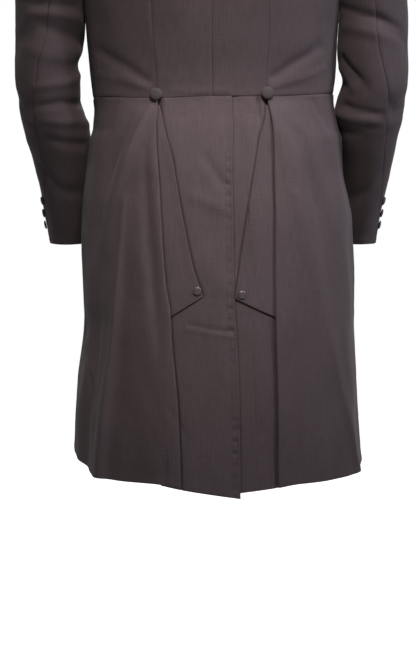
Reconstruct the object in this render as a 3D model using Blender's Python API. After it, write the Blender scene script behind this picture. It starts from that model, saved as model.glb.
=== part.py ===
"""Frock coat, worn on a general figure.

Metres, +Z up, +X the wearer's left, the front faces -Y. The origin is the midpoint between the two
side-neck points on the shoulder line. Angles go round the body in degrees from the centre back
(+Y), positive towards the wearer's left. Each panel is a grid of points on the body form, thickened
to a wall of cloth.
"""

import bpy
import numpy as np

for thing in list(bpy.data.objects):
    bpy.data.objects.remove(thing, do_unlink=True)

# Cloth, seams and layers
WALL = 0.0018
SEAM_GAP = 0.0003
LAYER = 0.0023
TURN_RADIUS = 0.0012
OVERLAP_SHIFT = 0.0012
FORM_POWER = 2.35

# Outer size of the body form by height: z, left half-width, right half-width, back and front depth
BODY = (
    (-1.080, 0.2130, 0.2330, 0.1960, 0.1900),
    (-1.022, 0.2110, 0.2294, 0.1900, 0.1860),
    (-1.005, 0.2108, 0.2275, 0.1885, 0.1845),
    (-0.957, 0.2097, 0.2245, 0.1840, 0.1810),
    (-0.903, 0.2055, 0.2225, 0.1790, 0.1770),
    (-0.841, 0.1980, 0.2203, 0.1730, 0.1720),
    (-0.802, 0.1950, 0.2180, 0.1700, 0.1680),
    (-0.771, 0.1970, 0.2167, 0.1670, 0.1650),
    (-0.683, 0.1980, 0.2145, 0.1580, 0.1560),
    (-0.647, 0.1970, 0.2133, 0.1540, 0.1510),
    (-0.616, 0.1960, 0.2075, 0.1500, 0.1470),
    (-0.587, 0.1935, 0.2009, 0.1450, 0.1430),
    (-0.570, 0.1916, 0.1990, 0.1420, 0.1400),
    (-0.526, 0.1870, 0.1985, 0.1310, 0.1330),
    (-0.506, 0.1815, 0.1928, 0.1250, 0.1300),
    (-0.484, 0.1807, 0.1880, 0.1160, 0.1260),
    (-0.460, 0.1830, 0.1860, 0.1090, 0.1230),
    (-0.430, 0.1868, 0.1890, 0.1110, 0.1250),
    (-0.377, 0.1915, 0.1915, 0.1210, 0.1310),
    (-0.310, 0.1970, 0.1970, 0.1330, 0.1400),
    (-0.250, 0.2020, 0.2020, 0.1410, 0.1490),
    (-0.200, 0.2050, 0.2050, 0.1430, 0.1520),
)

# Waist seam and hem heights round the body: degrees, left z, right z
WAIST_SEAM = (
    (0.0, -0.4620, -0.4620),
    (40.0, -0.4640, -0.4620),
    (90.0, -0.4597, -0.4535),
    (190.0, -0.4700, -0.4700),
)
HEM = (
    (0.0, -1.0460, -1.0510),
    (11.0, -1.0410, -1.0470),
    (26.0, -1.0340, -1.0410),
    (40.0, -1.0330, -1.0355),
    (53.0, -1.0310, -1.0345),
    (72.0, -1.0160, -1.0310),
    (90.0, -1.0060, -1.0230),
    (190.0, -1.0000, -1.0050),
)

# Skirt lines by height, in degrees: vent edge of the left panel, side fold left and right
VENT_EDGE = (
    (-1.0600, -12.2),
    (-0.9094, -12.5),
    (-0.8367, -12.1),
    (-0.7636, -11.1),
    (-0.5974, -11.5),
    (-0.4600, -15.3),
)
VENT_UNDERLAP_DEGREES = 8.0
SIDE_FOLD = (
    (-1.0600, 13.2, 27.6),
    (-1.0353, 13.6, 27.7),
    (-0.9096, 16.2, 28.8),
    (-0.8369, 19.2, 29.2),
    (-0.7858, 20.7, 29.3),
    (-0.7345, 23.8, 30.0),
    (-0.6166, 28.4, 32.6),
    (-0.5400, 33.2, 35.3),
    (-0.4600, 39.4, 38.6),
)
PLEAT_UNDERLAP = 0.030
SETTLE_DROP = 0.030
FLAP_START_DROP = 0.026
FOLD_FADE = 0.085

# Pointed side flaps: share of the way down, degrees and z of the free edge (left, then right)
FLAP_EDGE_LEFT = (
    (0.00, 32.0, -0.4985),
    (0.25, 23.1, -0.5602),
    (0.60, 16.1, -0.6432),
    (0.85, 9.8, -0.7180),
    (1.00, 4.6, -0.7590),
)
FLAP_EDGE_RIGHT = (
    (0.00, 33.4, -0.4985),
    (0.10, 29.2, -0.5227),
    (0.48, 21.8, -0.6033),
    (0.78, 15.5, -0.6933),
    (1.00, 11.6, -0.7620),
)
FLAP_ROOT_DEPTH = 0.007
FLAP_ROOT_END = -0.7930

# Soft folds of the skirt: rows of degrees, z, half-width and height along each fold
FOLDS_LEFT = (
    ((43.0, -0.486, 0.010, 0.0000), (49.6, -0.557, 0.015, 0.0050), (59.2, -0.636, 0.017, 0.0025)),
    ((46.6, -0.616, 0.009, 0.0010), (47.7, -0.765, 0.010, 0.0050), (51.1, -0.929, 0.011, 0.0075),
     (52.6, -1.050, 0.012, 0.0085)),
    ((60.0, -0.640, 0.014, -0.0020), (63.0, -0.800, 0.016, -0.0060), (67.0, -1.040, 0.018, -0.0080)),
    ((30.0, -0.900, 0.022, 0.0000), (33.0, -1.050, 0.024, -0.0040)),
    ((100.0, -0.560, 0.030, 0.0000), (104.0, -1.030, 0.036, 0.0100)),
    ((126.0, -0.560, 0.030, 0.0000), (130.0, -1.030, 0.034, -0.0080)),
    ((146.0, -0.560, 0.028, 0.0000), (150.0, -1.030, 0.032, 0.0080)),
)
FOLDS_RIGHT = (
    ((-41.0, -0.507, 0.010, 0.0000), (-45.8, -0.552, 0.014, 0.0045), (-47.8, -0.740, 0.017, 0.0045),
     (-46.5, -0.900, 0.018, 0.0020)),
    ((-37.8, -0.800, 0.009, -0.0010), (-37.4, -0.838, 0.010, -0.0040), (-35.0, -1.050, 0.012, -0.0055)),
    ((-56.8, -0.800, 0.010, 0.0010), (-61.5, -0.882, 0.012, 0.0040), (-70.1, -0.980, 0.013, 0.0055),
     (-74.0, -1.040, 0.014, 0.0055)),
    ((-52.0, -0.820, 0.014, -0.0010), (-56.0, -1.040, 0.018, -0.0050)),
    ((-98.0, -0.560, 0.030, 0.0000), (-104.0, -1.030, 0.036, 0.0090)),
    ((-124.0, -0.560, 0.030, 0.0000), (-128.0, -1.030, 0.034, -0.0080)),
    ((-145.0, -0.560, 0.028, 0.0000), (-150.0, -1.030, 0.032, 0.0080)),
)
# Soft folds of the bodice, the same columns
BODICE_FOLDS = (
    ((70.0, -0.392, 0.011, -0.0020), (45.0, -0.438, 0.009, -0.0020)),
    ((-66.0, -0.386, 0.011, -0.0025), (-43.0, -0.432, 0.009, -0.0020)),
    ((-56.0, -0.424, 0.010, 0.0015), (-42.0, -0.452, 0.007, 0.0010)),
    ((58.0, -0.430, 0.010, 0.0015), (44.0, -0.452, 0.007, 0.0010)),
)

# Bodice: neck, shoulder and armhole
CHEST_Z_SIDE = -0.235
CHEST_Z_FRONT = -0.320
NAPE = (0.0, 0.066, -0.016)
SIDE_NECK = (0.078, 0.0, 0.0)
SHOULDER_TIP = (0.216, 0.004, -0.048)
ROLL_CONTROL = (0.066, -0.172, -0.092)
BREAK_POINT = (-0.016, -0.141, -0.300)
BACK_NECK_DEGREES = 33.75
FRONT_NECK_DEGREES = 150.0
FRONT_EDGE_DEGREES = 186.0
ARMHOLE_BACK_DEGREES = 23.0
ARMHOLE_FRONT_DEGREES = 29.0
BACK_SEAM_MEETS = -30.0
SIDE_SEAM_MEETS = -110.0

# Side-back seam by bodice height (0 waist, 1 chest line, 2 shoulder): degrees left and right
SIDE_BACK_SEAM = (
    (0.00, 39.9, 38.9),
    (0.35, 38.4, 37.0),
    (0.68, 36.6, 34.4),
    (0.90, 38.8, 37.4),
    (1.08, 50.0, 49.6),
    (1.25, 70.1, 70.1),
)
SIDE_SEAM_WAIST_DEGREES = 84.0

# Sleeve centre line: z, then left x and half-width, right x and half-width, y, half-depth, tilt
SLEEVE = (
    (-0.306, 0.2554, 0.0477, 0.2525, 0.0475, -0.004, 0.069, 0.0),
    (-0.337, 0.2525, 0.0505, 0.2510, 0.0505, -0.002, 0.069, 0.0),
    (-0.365, 0.2505, 0.0525, 0.2500, 0.0517, 0.000, 0.068, 1.0),
    (-0.385, 0.2525, 0.0505, 0.2495, 0.0521, 0.003, 0.067, 3.0),
    (-0.409, 0.2550, 0.0485, 0.2500, 0.0516, 0.004, 0.066, 5.0),
    (-0.435, 0.2540, 0.0490, 0.2510, 0.0500, 0.003, 0.066, 8.0),
    (-0.462, 0.2517, 0.0487, 0.2490, 0.0500, -0.003, 0.066, 12.0),
    (-0.485, 0.2485, 0.0482, 0.2460, 0.0490, -0.010, 0.065, 15.0),
    (-0.515, 0.2435, 0.0462, 0.2440, 0.0450, -0.024, 0.063, 19.0),
    (-0.542, 0.2400, 0.0415, 0.2430, 0.0412, -0.038, 0.061, 22.0),
    (-0.570, 0.2370, 0.0385, 0.2420, 0.0380, -0.052, 0.059, 24.0),
    (-0.600, 0.2340, 0.0358, 0.2390, 0.0342, -0.067, 0.057, 26.0),
    (-0.635, 0.2315, 0.0338, 0.2345, 0.0330, -0.084, 0.055, 27.0),
    (-0.664, 0.2300, 0.0322, 0.2310, 0.0318, -0.098, 0.054, 27.0),
)
ARM_ROWS = (-0.306, -0.345, -0.385, -0.430, -0.470, -0.515, -0.560, -0.610, -0.664)
HINDARM_SEAM = (
    (-0.700, 66.0),
    (-0.664, 62.0),
    (-0.600, 45.0),
    (-0.535, 31.0),
    (-0.467, 24.0),
    (-0.430, 15.0),
    (-0.340, -2.0),
    (-0.200, -10.0),
)
FOREARM_SEAM = 212.0
# Folds of the left sleeve, and of the right one mirrored: degrees round it, z, half-width, height
SLEEVE_FOLDS = (
    ((-20.0, -0.330, 0.012, -0.003), (60.0, -0.380, 0.014, -0.003)),
    ((-40.0, -0.430, 0.008, -0.002), (40.0, -0.470, 0.012, -0.004), (90.0, -0.455, 0.012, -0.002)),
    ((-30.0, -0.490, 0.010, -0.003), (50.0, -0.500, 0.010, -0.001)),
    ((150.0, -0.440, 0.012, -0.004), (230.0, -0.450, 0.012, -0.004)),
)

# Collar: share from the centre back, stand height, fall reach from the neck seam, lean
COLLAR = (
    (0.00, 0.036, 0.012, 0.005),
    (0.35, 0.034, 0.014, 0.005),
    (0.62, 0.026, 0.028, 0.004),
    (0.80, 0.014, 0.034, 0.002),
    (1.00, 0.006, 0.036, 0.000),
)
COLLAR_SIDE_NECK = 0.62
COLLAR_TURN = 0.0035
GORGE_DEGREES = 157.0
COLLAR_CLEAR = 0.0056
COLLAR_SEAM_RISE = 0.0022

# Lapel: share from the gorge to the break, x, y and z of its free edge
LAPEL_EDGE = (
    (0.00, 0.106, -0.090, -0.100),
    (0.22, 0.103, -0.112, -0.128),
    (0.60, 0.064, -0.138, -0.180),
    (1.00, 0.016, -0.150, -0.232),
)
LAPEL_END_DEGREES = 178.5
LAPEL_LIFT = 0.0042
GORGE_LIFT = 0.0022

# Buttons: radius and dome height; back of each above the cloth's mid-surface
HIP_BUTTON = (0.0095, 0.0046)
HIP_BUTTON_ABOVE = 0.0046
SMALL_BUTTON = (0.0064, 0.0032)
CUFF_BUTTON = (0.0068, 0.0034)
FRONT_BUTTON = (0.0095, 0.0042)
# Front buttons: bodice height and added room
FRONT_BUTTON_PLACES = ((0.88, 0.0002), (0.62, 0.0002), (0.36, 0.0003), (0.10, 0.0010))
DOME = ((0.92, 0.00), (1.00, 0.22), (0.86, 0.66), (0.50, 0.92))
BUTTON_SEGMENTS = 12

CLOTH_COLOUR = (0.062, 0.046, 0.046, 1.0)
BUTTON_COLOUR = (0.050, 0.038, 0.038, 1.0)


# Shape maths
def through(rows, column, at):
    """Smooth curve through one column of a table whose first column rises, read at given places."""
    xs = np.array([row[0] for row in rows], float)
    ys = np.array([row[column] for row in rows], float)
    gap = np.diff(xs)
    rise = np.diff(ys) / gap
    before, after = rise[:-1], rise[1:]
    same = before * after > 0
    total = np.where(same, before + after, 1.0)
    slope = np.concatenate([[rise[0]], np.where(same, 2 * before * after / total, 0.0), [rise[-1]]])
    at = np.clip(np.asarray(at, float), xs[0], xs[-1])
    i = np.clip(np.searchsorted(xs, at) - 1, 0, len(xs) - 2)
    t = (at - xs[i]) / gap[i]
    start = (1 + 2 * t) * (1 - t) ** 2 * ys[i] + t * (1 - t) ** 2 * gap[i] * slope[i]
    end = t * t * (3 - 2 * t) * ys[i + 1] + t * t * (t - 1) * gap[i] * slope[i + 1]
    return start + end


def ease(t):
    """0 to 1 with flat ends."""
    t = np.clip(t, 0.0, 1.0)
    return t * t * (3 - 2 * t)


def mixed(a, b, t):
    return a + (b - a) * t


def points(x, y, z):
    return np.stack(np.broadcast_arrays(x, y, z), axis=-1).astype(float)


def unit(vectors):
    return vectors / np.maximum(np.linalg.norm(vectors, axis=-1, keepdims=True), 1e-12)


def two_sided(rows, degrees):
    """A table of degrees, left value, right value, read on the side the angle is on."""
    left = through(rows, 1, np.abs(degrees))
    right = through(rows, 2, np.abs(degrees))
    return np.where(np.asarray(degrees) >= 0, left, right)


def ring(degrees, z):
    """Mid-surface of the body form: a superellipse at each height."""
    degrees, z = np.broadcast_arrays(np.asarray(degrees, float), np.asarray(z, float))
    sine, cosine = np.sin(np.radians(degrees)), np.cos(np.radians(degrees))
    half = np.where(sine >= 0, through(BODY, 1, z), through(BODY, 2, z)) - WALL / 2
    depth = np.where(cosine >= 0, through(BODY, 3, z), through(BODY, 4, z)) - WALL / 2
    power = FORM_POWER
    reach = ((np.abs(sine) / half) ** power + (np.abs(cosine) / depth) ** power) ** (-1 / power)
    return points(reach * sine, reach * cosine, z)


def fold_height(folds, across, z, metres_per_degree):
    """Sum of soft folds, each a bell across a line through its rows."""
    total = np.zeros(np.broadcast(across, z).shape)
    for rows in folds:
        nearest = np.full(total.shape, 1e9)
        height = np.zeros(total.shape)
        for (d0, z0, w0, h0), (d1, z1, w1, h1) in zip(rows[:-1], rows[1:]):
            run = (d1 - d0) * metres_per_degree
            drop = z1 - z0
            from_start = (across - d0) * metres_per_degree
            share = np.clip((from_start * run + (z - z0) * drop) / (run * run + drop * drop), 0, 1)
            away = np.hypot(from_start - share * run, z - z0 - share * drop)
            away = away / mixed(w0, w1, share)
            closer = away < nearest
            height = np.where(closer, mixed(h0, h1, share), height)
            nearest = np.where(closer, away, nearest)
        total = total + height * np.exp(-nearest ** 2)
    return total


def moved_out(surface, across, up, out, step_across=0.4, step_up=0.004):
    """Points of a surface moved along its outward normal."""
    sideways = surface(across + step_across, up) - surface(across - step_across, up)
    upwards = surface(across, up + step_up) - surface(across, up - step_up)
    normal = unit(np.cross(upwards, sideways))
    return surface(across, up) + normal * np.asarray(out, float)[..., None]


def skirt(degrees, z, out=0.0):
    """Skirt mid-surface with its soft folds."""
    degrees, z, out = np.broadcast_arrays(np.asarray(degrees, float), np.asarray(z, float), out)
    folds = fold_height(FOLDS_LEFT, degrees, z, 0.0031) + fold_height(FOLDS_RIGHT, degrees, z, 0.0031)
    return moved_out(ring, degrees, z, out + folds)


def skirt_z(degrees, down):
    """Height at a share of the way from the waist seam to the hem."""
    return mixed(two_sided(WAIST_SEAM, degrees), two_sided(HEM, degrees), down)


def stepped(degrees, z, distance):
    """Angle reached by going a distance round the body form from an angle."""
    reached = np.asarray(degrees, float)
    count = 6
    for _ in range(count):
        speed = np.linalg.norm(ring(reached + 0.5, z) - ring(reached - 0.5, z), axis=-1)
        reached = reached + np.asarray(distance, float) / count / speed
    return reached


def top_edge(degrees):
    """Top of the bodice: back neck, shoulder seam, then the roll line down to the break."""
    turn = np.abs(degrees)
    side = np.where(np.asarray(degrees) >= 0, 1.0, -1.0)
    quarter = np.radians(90 * np.clip(turn / BACK_NECK_DEGREES, 0, 1))
    neck = points(
        SIDE_NECK[0] * np.sin(quarter),
        NAPE[1] * np.cos(quarter),
        NAPE[2] * np.cos(quarter) ** 2,
    )
    back_share = np.clip((turn - BACK_NECK_DEGREES) / (90 - BACK_NECK_DEGREES), 0, 1)
    front_share = np.clip((FRONT_NECK_DEGREES - turn) / (FRONT_NECK_DEGREES - 90), 0, 1)
    share = np.where(turn <= 90, back_share, front_share)[..., None]
    shoulder = mixed(np.array(SIDE_NECK), np.array(SHOULDER_TIP), share)
    shoulder[..., 2] += 0.004 * np.sin(np.pi * share[..., 0])
    t = np.clip((turn - FRONT_NECK_DEGREES) / (FRONT_EDGE_DEGREES - FRONT_NECK_DEGREES), 0, 1)[..., None]
    roll = (1 - t) ** 2 * np.array(SIDE_NECK) + 2 * t * (1 - t) * np.array(ROLL_CONTROL)
    roll = roll + t * t * np.array(BREAK_POINT)
    result = np.where((turn < BACK_NECK_DEGREES)[..., None], neck, shoulder)
    result = np.where((turn > FRONT_NECK_DEGREES)[..., None], roll, result)
    return result * points(side, 1.0, 1.0)


def chest_z(degrees):
    return mixed(CHEST_Z_SIDE, CHEST_Z_FRONT, ease((np.abs(degrees) - 105) / 75))


def bodice_form(degrees, level):
    """Bodice without folds. Level 0 is the waist seam, 1 the chest line, 2 the top edge."""
    degrees, level = np.broadcast_arrays(np.asarray(degrees, float), np.asarray(level, float))
    low = two_sided(WAIST_SEAM, degrees)
    chest = chest_z(degrees)
    lower = ring(degrees, mixed(low, chest, np.minimum(level, 1.0)))
    start = ring(degrees, chest)
    end = top_edge(degrees)
    rise = (end - start)[..., 2]
    turn = np.abs(degrees)
    back = ease((turn - 5) / 40)
    push = np.where(turn <= 90, mixed(0.030, 0.052, back), -mixed(0.062, 0.014, ease((turn - 140) / 40)))
    push = push * np.where(turn <= 90, 1.0, ease((turn - 90) / 12))
    fall = np.where(turn <= 90, mixed(-0.042, 0.0, back), mixed(0.0, -0.030, ease((turn - 130) / 40)))
    first = start + points(0.0, 0.0, rise * 0.42)
    second = end + points(0.0, push, fall * np.where(turn <= 120, 1.0, np.clip(rise / 0.2, 0.1, 1.0)))
    t = np.clip(level - 1, 0, None)[..., None]
    over = (1 - t) ** 3 * start + 3 * t * (1 - t) ** 2 * first + 3 * t * t * (1 - t) * second + t ** 3 * end
    return np.where((level > 1)[..., None], over, lower)


def bodice(degrees, level, out=0.0):
    degrees, level, out = np.broadcast_arrays(np.asarray(degrees, float), np.asarray(level, float), out)
    z = bodice_form(degrees, np.minimum(level, 1.98))[..., 2]
    folds = fold_height(BODICE_FOLDS, degrees, z, 0.0029)
    folds = folds * ease(level / 0.12)
    top = np.minimum(level, 1.995)
    moved = moved_out(bodice_form, degrees, top, out + folds, step_up=0.005) - bodice_form(degrees, top)
    return bodice_form(degrees, level) + moved


def armhole(turn):
    """Degrees and level of the armhole: turn 90 at the shoulder tip, 0 at the back, -90 below."""
    half = np.where(np.cos(np.radians(turn)) >= 0, ARMHOLE_BACK_DEGREES, ARMHOLE_FRONT_DEGREES)
    return 90 - half * np.cos(np.radians(turn)), 1.5 + 0.5 * np.sin(np.radians(turn))


def sleeve_ring(side, turn, z):
    """Sleeve below the armhole; turn 0 is the back of the arm, 90 the outside, 180 the front."""
    column = 1 if side > 0 else 3
    centre_x = through(SLEEVE_UP, column, z)
    half = through(SLEEVE_UP, column + 1, z) - WALL / 2
    centre_y = through(SLEEVE_UP, 5, z)
    depth = through(SLEEVE_UP, 6, z) - WALL / 2
    tilt = np.radians(through(SLEEVE_UP, 7, z))
    folds = fold_height(SLEEVE_FOLDS, turn, z, 0.0010)
    sine, cosine = np.sin(np.radians(turn)), np.cos(np.radians(turn))
    half, depth = half + folds, depth + folds
    x = centre_x + half * sine
    y = centre_y + depth * cosine * np.cos(tilt)
    return points(side * x, y, z - depth * cosine * np.sin(tilt))


SLEEVE_UP = SLEEVE[::-1]


def sleeve_head(side, turn, share):
    """From the armhole to the top of the arm."""
    turn, share = np.broadcast_arrays(np.asarray(turn, float), np.asarray(share, float))
    degrees, level = armhole(np.where(turn > 90, 180 - turn, turn) * 1.0)
    front = np.cos(np.radians(turn)) < 0
    half = np.where(front, ARMHOLE_FRONT_DEGREES, ARMHOLE_BACK_DEGREES)
    degrees = 90 - half * np.cos(np.radians(turn))
    level = 1.5 + 0.5 * np.sin(np.radians(turn))
    high = (1 + np.sin(np.radians(turn))) / 2
    clear = mixed(0.0022, 0.0021, high)
    start = bodice_form(side * degrees, level)
    inward = unit(bodice_form(side * 90.0, 1.5) - start)
    start = start + inward * clear[..., None] + points(0.0, 0.0, clear * (1 - high))
    end = sleeve_ring(side, turn, np.full(turn.shape, SLEEVE[0][0]))
    reach = mixed(0.014, 0.060, high)
    forward = 0.30 * np.cos(np.radians(turn))
    first = start + points(side * 0.94 * reach, forward * reach, -0.34 * high * reach)
    second = end + points(0.0, 0.0, mixed(0.030, 0.115, high))
    t = share[..., None]
    return (1 - t) ** 3 * start + 3 * t * (1 - t) ** 2 * first + 3 * t * t * (1 - t) * second + t ** 3 * end


# Building
def trimmed(grid, low=1, high=1, first=1, last=1, gap=SEAM_GAP / 2):
    """Grid of rows and columns with its chosen edges drawn in by half a seam gap."""
    grid = np.array(grid)
    if low:
        grid[0] += unit(grid[1] - grid[0]) * gap * low
    if high:
        grid[-1] += unit(grid[-2] - grid[-1]) * gap * high
    if first:
        grid[:, 0] += unit(grid[:, 1] - grid[:, 0]) * gap * first
    if last:
        grid[:, -1] += unit(grid[:, -2] - grid[:, -1]) * gap * last
    return grid


def material(name, colour, roughness):
    made = bpy.data.materials.new(name)
    made.use_nodes = True
    shader = made.node_tree.nodes["Principled BSDF"]
    shader.inputs["Base Color"].default_value = colour
    shader.inputs["Roughness"].default_value = roughness
    shader.inputs["Metallic"].default_value = 0.0
    made.diffuse_color = colour
    return made


def add_mesh(name, corners, faces, colour, roughness):
    mesh = bpy.data.meshes.new(name)
    mesh.from_pydata([tuple(p) for p in corners], [], faces)
    mesh.update()
    obj = bpy.data.objects.new(name, mesh)
    bpy.context.scene.collection.objects.link(obj)
    mesh.materials.append(material(name, colour, roughness))
    return obj


def grid_normals(grid):
    """Normal at each point of a grid, from its neighbours along rows and columns."""
    up = np.empty_like(grid)
    up[1:-1] = unit(grid[2:] - grid[1:-1]) + unit(grid[1:-1] - grid[:-2])
    up[0] = grid[1] - grid[0]
    up[-1] = grid[-1] - grid[-2]
    across = np.empty_like(grid)
    across[:, 1:-1] = unit(grid[:, 2:] - grid[:, 1:-1]) + unit(grid[:, 1:-1] - grid[:, :-2])
    across[:, 0] = grid[:, 1] - grid[:, 0]
    across[:, -1] = grid[:, -1] - grid[:, -2]
    return unit(np.cross(up, across))


def cloth(name, grid):
    """A panel: the grid's quads made a closed wall, half of it on each side of the grid."""
    rows, columns = grid.shape[:2]
    half = grid_normals(grid) * WALL / 2
    count = rows * columns
    front = np.arange(count).reshape(rows, columns)
    back = front + count
    faces = [np.stack([front[:-1, :-1], front[:-1, 1:], front[1:, 1:], front[1:, :-1]], axis=-1)]
    faces.append(np.stack([back[:-1, :-1], back[1:, :-1], back[1:, 1:], back[:-1, 1:]], axis=-1))
    loop = np.concatenate([front[0, :-1], front[:-1, -1], front[-1, :0:-1], front[:0:-1, 0]])
    after = np.roll(loop, -1)
    faces.append(np.stack([after, loop, loop + count, after + count], axis=-1))
    faces = np.concatenate([part.reshape(-1, 4) for part in faces])
    corners = np.concatenate([(grid + half).reshape(-1, 3), (grid - half).reshape(-1, 3)])
    a, b, c, d = (corners[faces[:, k]] for k in range(4))
    volume = (np.cross(a, b) * c).sum() + (np.cross(a, c) * d).sum()
    if volume < 0:
        faces = faces[:, ::-1]
    return add_mesh(name, corners, faces.tolist(), CLOTH_COLOUR, 0.92)


def button(name, centre, normal, size, above, stalk=0.0):
    """A domed covered button; its flat back stands `above` the point, on a short neck if asked."""
    radius, height = size
    profile = [(radius * r, above + height * h) for r, h in DOME]
    if stalk:
        profile = [(radius * 0.30, above - stalk), (radius * 0.30, above)] + profile
    normal = unit(np.array(normal, float))
    side = unit(np.cross(normal, np.array([0.0, 0.0, 1.0])))
    up = np.cross(normal, side)
    turn = np.linspace(0, 2 * np.pi, BUTTON_SEGMENTS, endpoint=False)
    around = np.cos(turn)[:, None] * side + np.sin(turn)[:, None] * up
    corners = [centre + normal * profile[0][1]]
    for r, h in profile:
        corners.extend(centre + around * r + normal * h)
    corners.append(centre + normal * (above + height))
    n = BUTTON_SEGMENTS
    faces = []
    for i in range(n):
        j = (i + 1) % n
        faces.append((0, 1 + j, 1 + i))
        for k in range(len(profile) - 1):
            a, b = 1 + k * n, 1 + (k + 1) * n
            faces.append((a + i, a + j, b + j, b + i))
        last = 1 + (len(profile) - 1) * n
        faces.append((last + i, last + j, len(corners) - 1))
    return add_mesh(name, corners, faces, BUTTON_COLOUR, 0.7)


def surface_frame(surface, across, up, step_across=0.4, step_up=0.004):
    """Point and outward normal of a surface."""
    point = surface(across, up)
    sideways = surface(across + step_across, up) - surface(across - step_across, up)
    upwards = surface(across, up + step_up) - surface(across, up - step_up)
    return point, unit(np.cross(upwards, sideways))


# Panels of the bodice
SEAM_LEVELS = np.linspace(0.0, 1.25, 9)
BACK_LEVELS = np.concatenate([SEAM_LEVELS, 1.5 + 0.5 * np.sin(np.radians(np.linspace(-30, 90, 9)))[1:]])
SIDE_LEVELS = np.linspace(0.0, 1.5 + 0.5 * np.sin(np.radians(SIDE_SEAM_MEETS)), 9)
FRONT_TURNS = np.radians(np.linspace(SIDE_SEAM_MEETS, -270, 9))[1:]
FRONT_LEVELS = np.concatenate([SIDE_LEVELS, 1.5 + 0.5 * np.sin(FRONT_TURNS)])


def side_back_seam(side, level):
    return through(SIDE_BACK_SEAM, 1 if side > 0 else 2, level)


def side_seam(level):
    """Seam between side body and forepart, up to the armhole."""
    meets = 90 - ARMHOLE_FRONT_DEGREES * np.cos(np.radians(SIDE_SEAM_MEETS))
    return mixed(SIDE_SEAM_WAIST_DEGREES, meets, ease(level / SIDE_LEVELS[-1]))


def back_outer(side, level):
    turn = np.degrees(np.arcsin(np.clip((level - 1.5) / 0.5, -1, 1)))
    hole = 90 - ARMHOLE_BACK_DEGREES * np.cos(np.radians(turn))
    return np.where(level <= 1.25, side_back_seam(side, level), hole)


def front_outer(level):
    turn = np.degrees(np.arcsin(np.clip((level - 1.5) / 0.5, -1, 1)))
    hole = 90 + ARMHOLE_FRONT_DEGREES * np.cos(np.radians(turn))
    return np.where(level <= SIDE_LEVELS[-1], side_seam(level), hole)


def make_back(side, name):
    level = BACK_LEVELS[:, None]
    neck = BACK_NECK_DEGREES / 90
    share = np.concatenate([np.linspace(0, neck, 6), np.linspace(neck, 1, 6)[1:]])[None, :]
    degrees = side * back_outer(side, level) * share
    cloth(name, trimmed(bodice(degrees + side * 1e-6, level), low=1.6, high=2.4))


def make_side_body(side, name):
    share = np.linspace(0, 1, 6)[None, :]
    along = np.linspace(0, 1, 9)[:, None]
    left = points(side_back_seam(side, SEAM_LEVELS)[:, None], SEAM_LEVELS[:, None], 0.0)
    right = points(side_seam(SIDE_LEVELS)[:, None], SIDE_LEVELS[:, None], 0.0)
    bottom = points(mixed(left[0, 0, 0], right[0, 0, 0], share), 0.0, 0.0)
    turn = mixed(BACK_SEAM_MEETS, SIDE_SEAM_MEETS, share)
    half = np.where(np.cos(np.radians(turn)) >= 0, ARMHOLE_BACK_DEGREES, ARMHOLE_FRONT_DEGREES)
    top = points(90 - half * np.cos(np.radians(turn)), 1.5 + 0.5 * np.sin(np.radians(turn)), 0.0)
    s, t = share[..., None], along[..., None]
    corners = mixed(mixed(bottom[0, 0], bottom[0, -1], s), mixed(top[0, 0], top[0, -1], s), t)
    patch = mixed(left, right, s) + mixed(bottom, top, t) - corners
    cloth(name, trimmed(bodice(side * patch[..., 0], patch[..., 1]), low=1.6))


def front_shift(side, degrees, low=158.0, high=173.0):
    """The left front passes over the right one."""
    return side * OVERLAP_SHIFT * ease((np.abs(degrees) - low) / (high - low))


def front_edge(level):
    """The front edge laps past the centre up to the break and stops short of it above."""
    return FRONT_EDGE_DEGREES - 6.4 * ease((level - 0.9) / 0.3)


def front_shares():
    neck = (FRONT_NECK_DEGREES - 90) / (front_edge(2.0) - 90)
    return np.concatenate([np.linspace(0, neck, 7), np.linspace(neck, 1, 7)[1:]])


def forepart_grid(side):
    level = FRONT_LEVELS[:, None]
    degrees = mixed(front_outer(level), front_edge(level), front_shares()[None, :])
    return bodice(side * degrees, level, front_shift(side, degrees))


def make_forepart(side, name):
    cloth(name, trimmed(forepart_grid(side), low=1.6, high=2.4, first=1.5))


def on_grid(grid, rows, columns):
    """Values of a grid between its points."""
    i = np.clip(np.floor(rows).astype(int), 0, grid.shape[0] - 2)
    j = np.clip(np.floor(columns).astype(int), 0, grid.shape[1] - 2)
    s, t = (rows - i)[..., None], (columns - j)[..., None]
    low = mixed(grid[i, j], grid[i, j + 1], t)
    high = mixed(grid[i + 1, j], grid[i + 1, j + 1], t)
    return mixed(low, high, s)


def nearest_on(grid, targets):
    """Row and column of a grid nearest to each of some points."""
    rows, columns = np.meshgrid(np.linspace(0, grid.shape[0] - 1, 180),
                                np.linspace(0, grid.shape[1] - 1, 120), indexing="ij")
    place = on_grid(grid, rows, columns).reshape(-1, 3)
    nearest = np.linalg.norm(targets.reshape(-1, 1, 3) - place[None], axis=-1).argmin(axis=1)
    return rows.reshape(-1)[nearest], columns.reshape(-1)[nearest]


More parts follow.
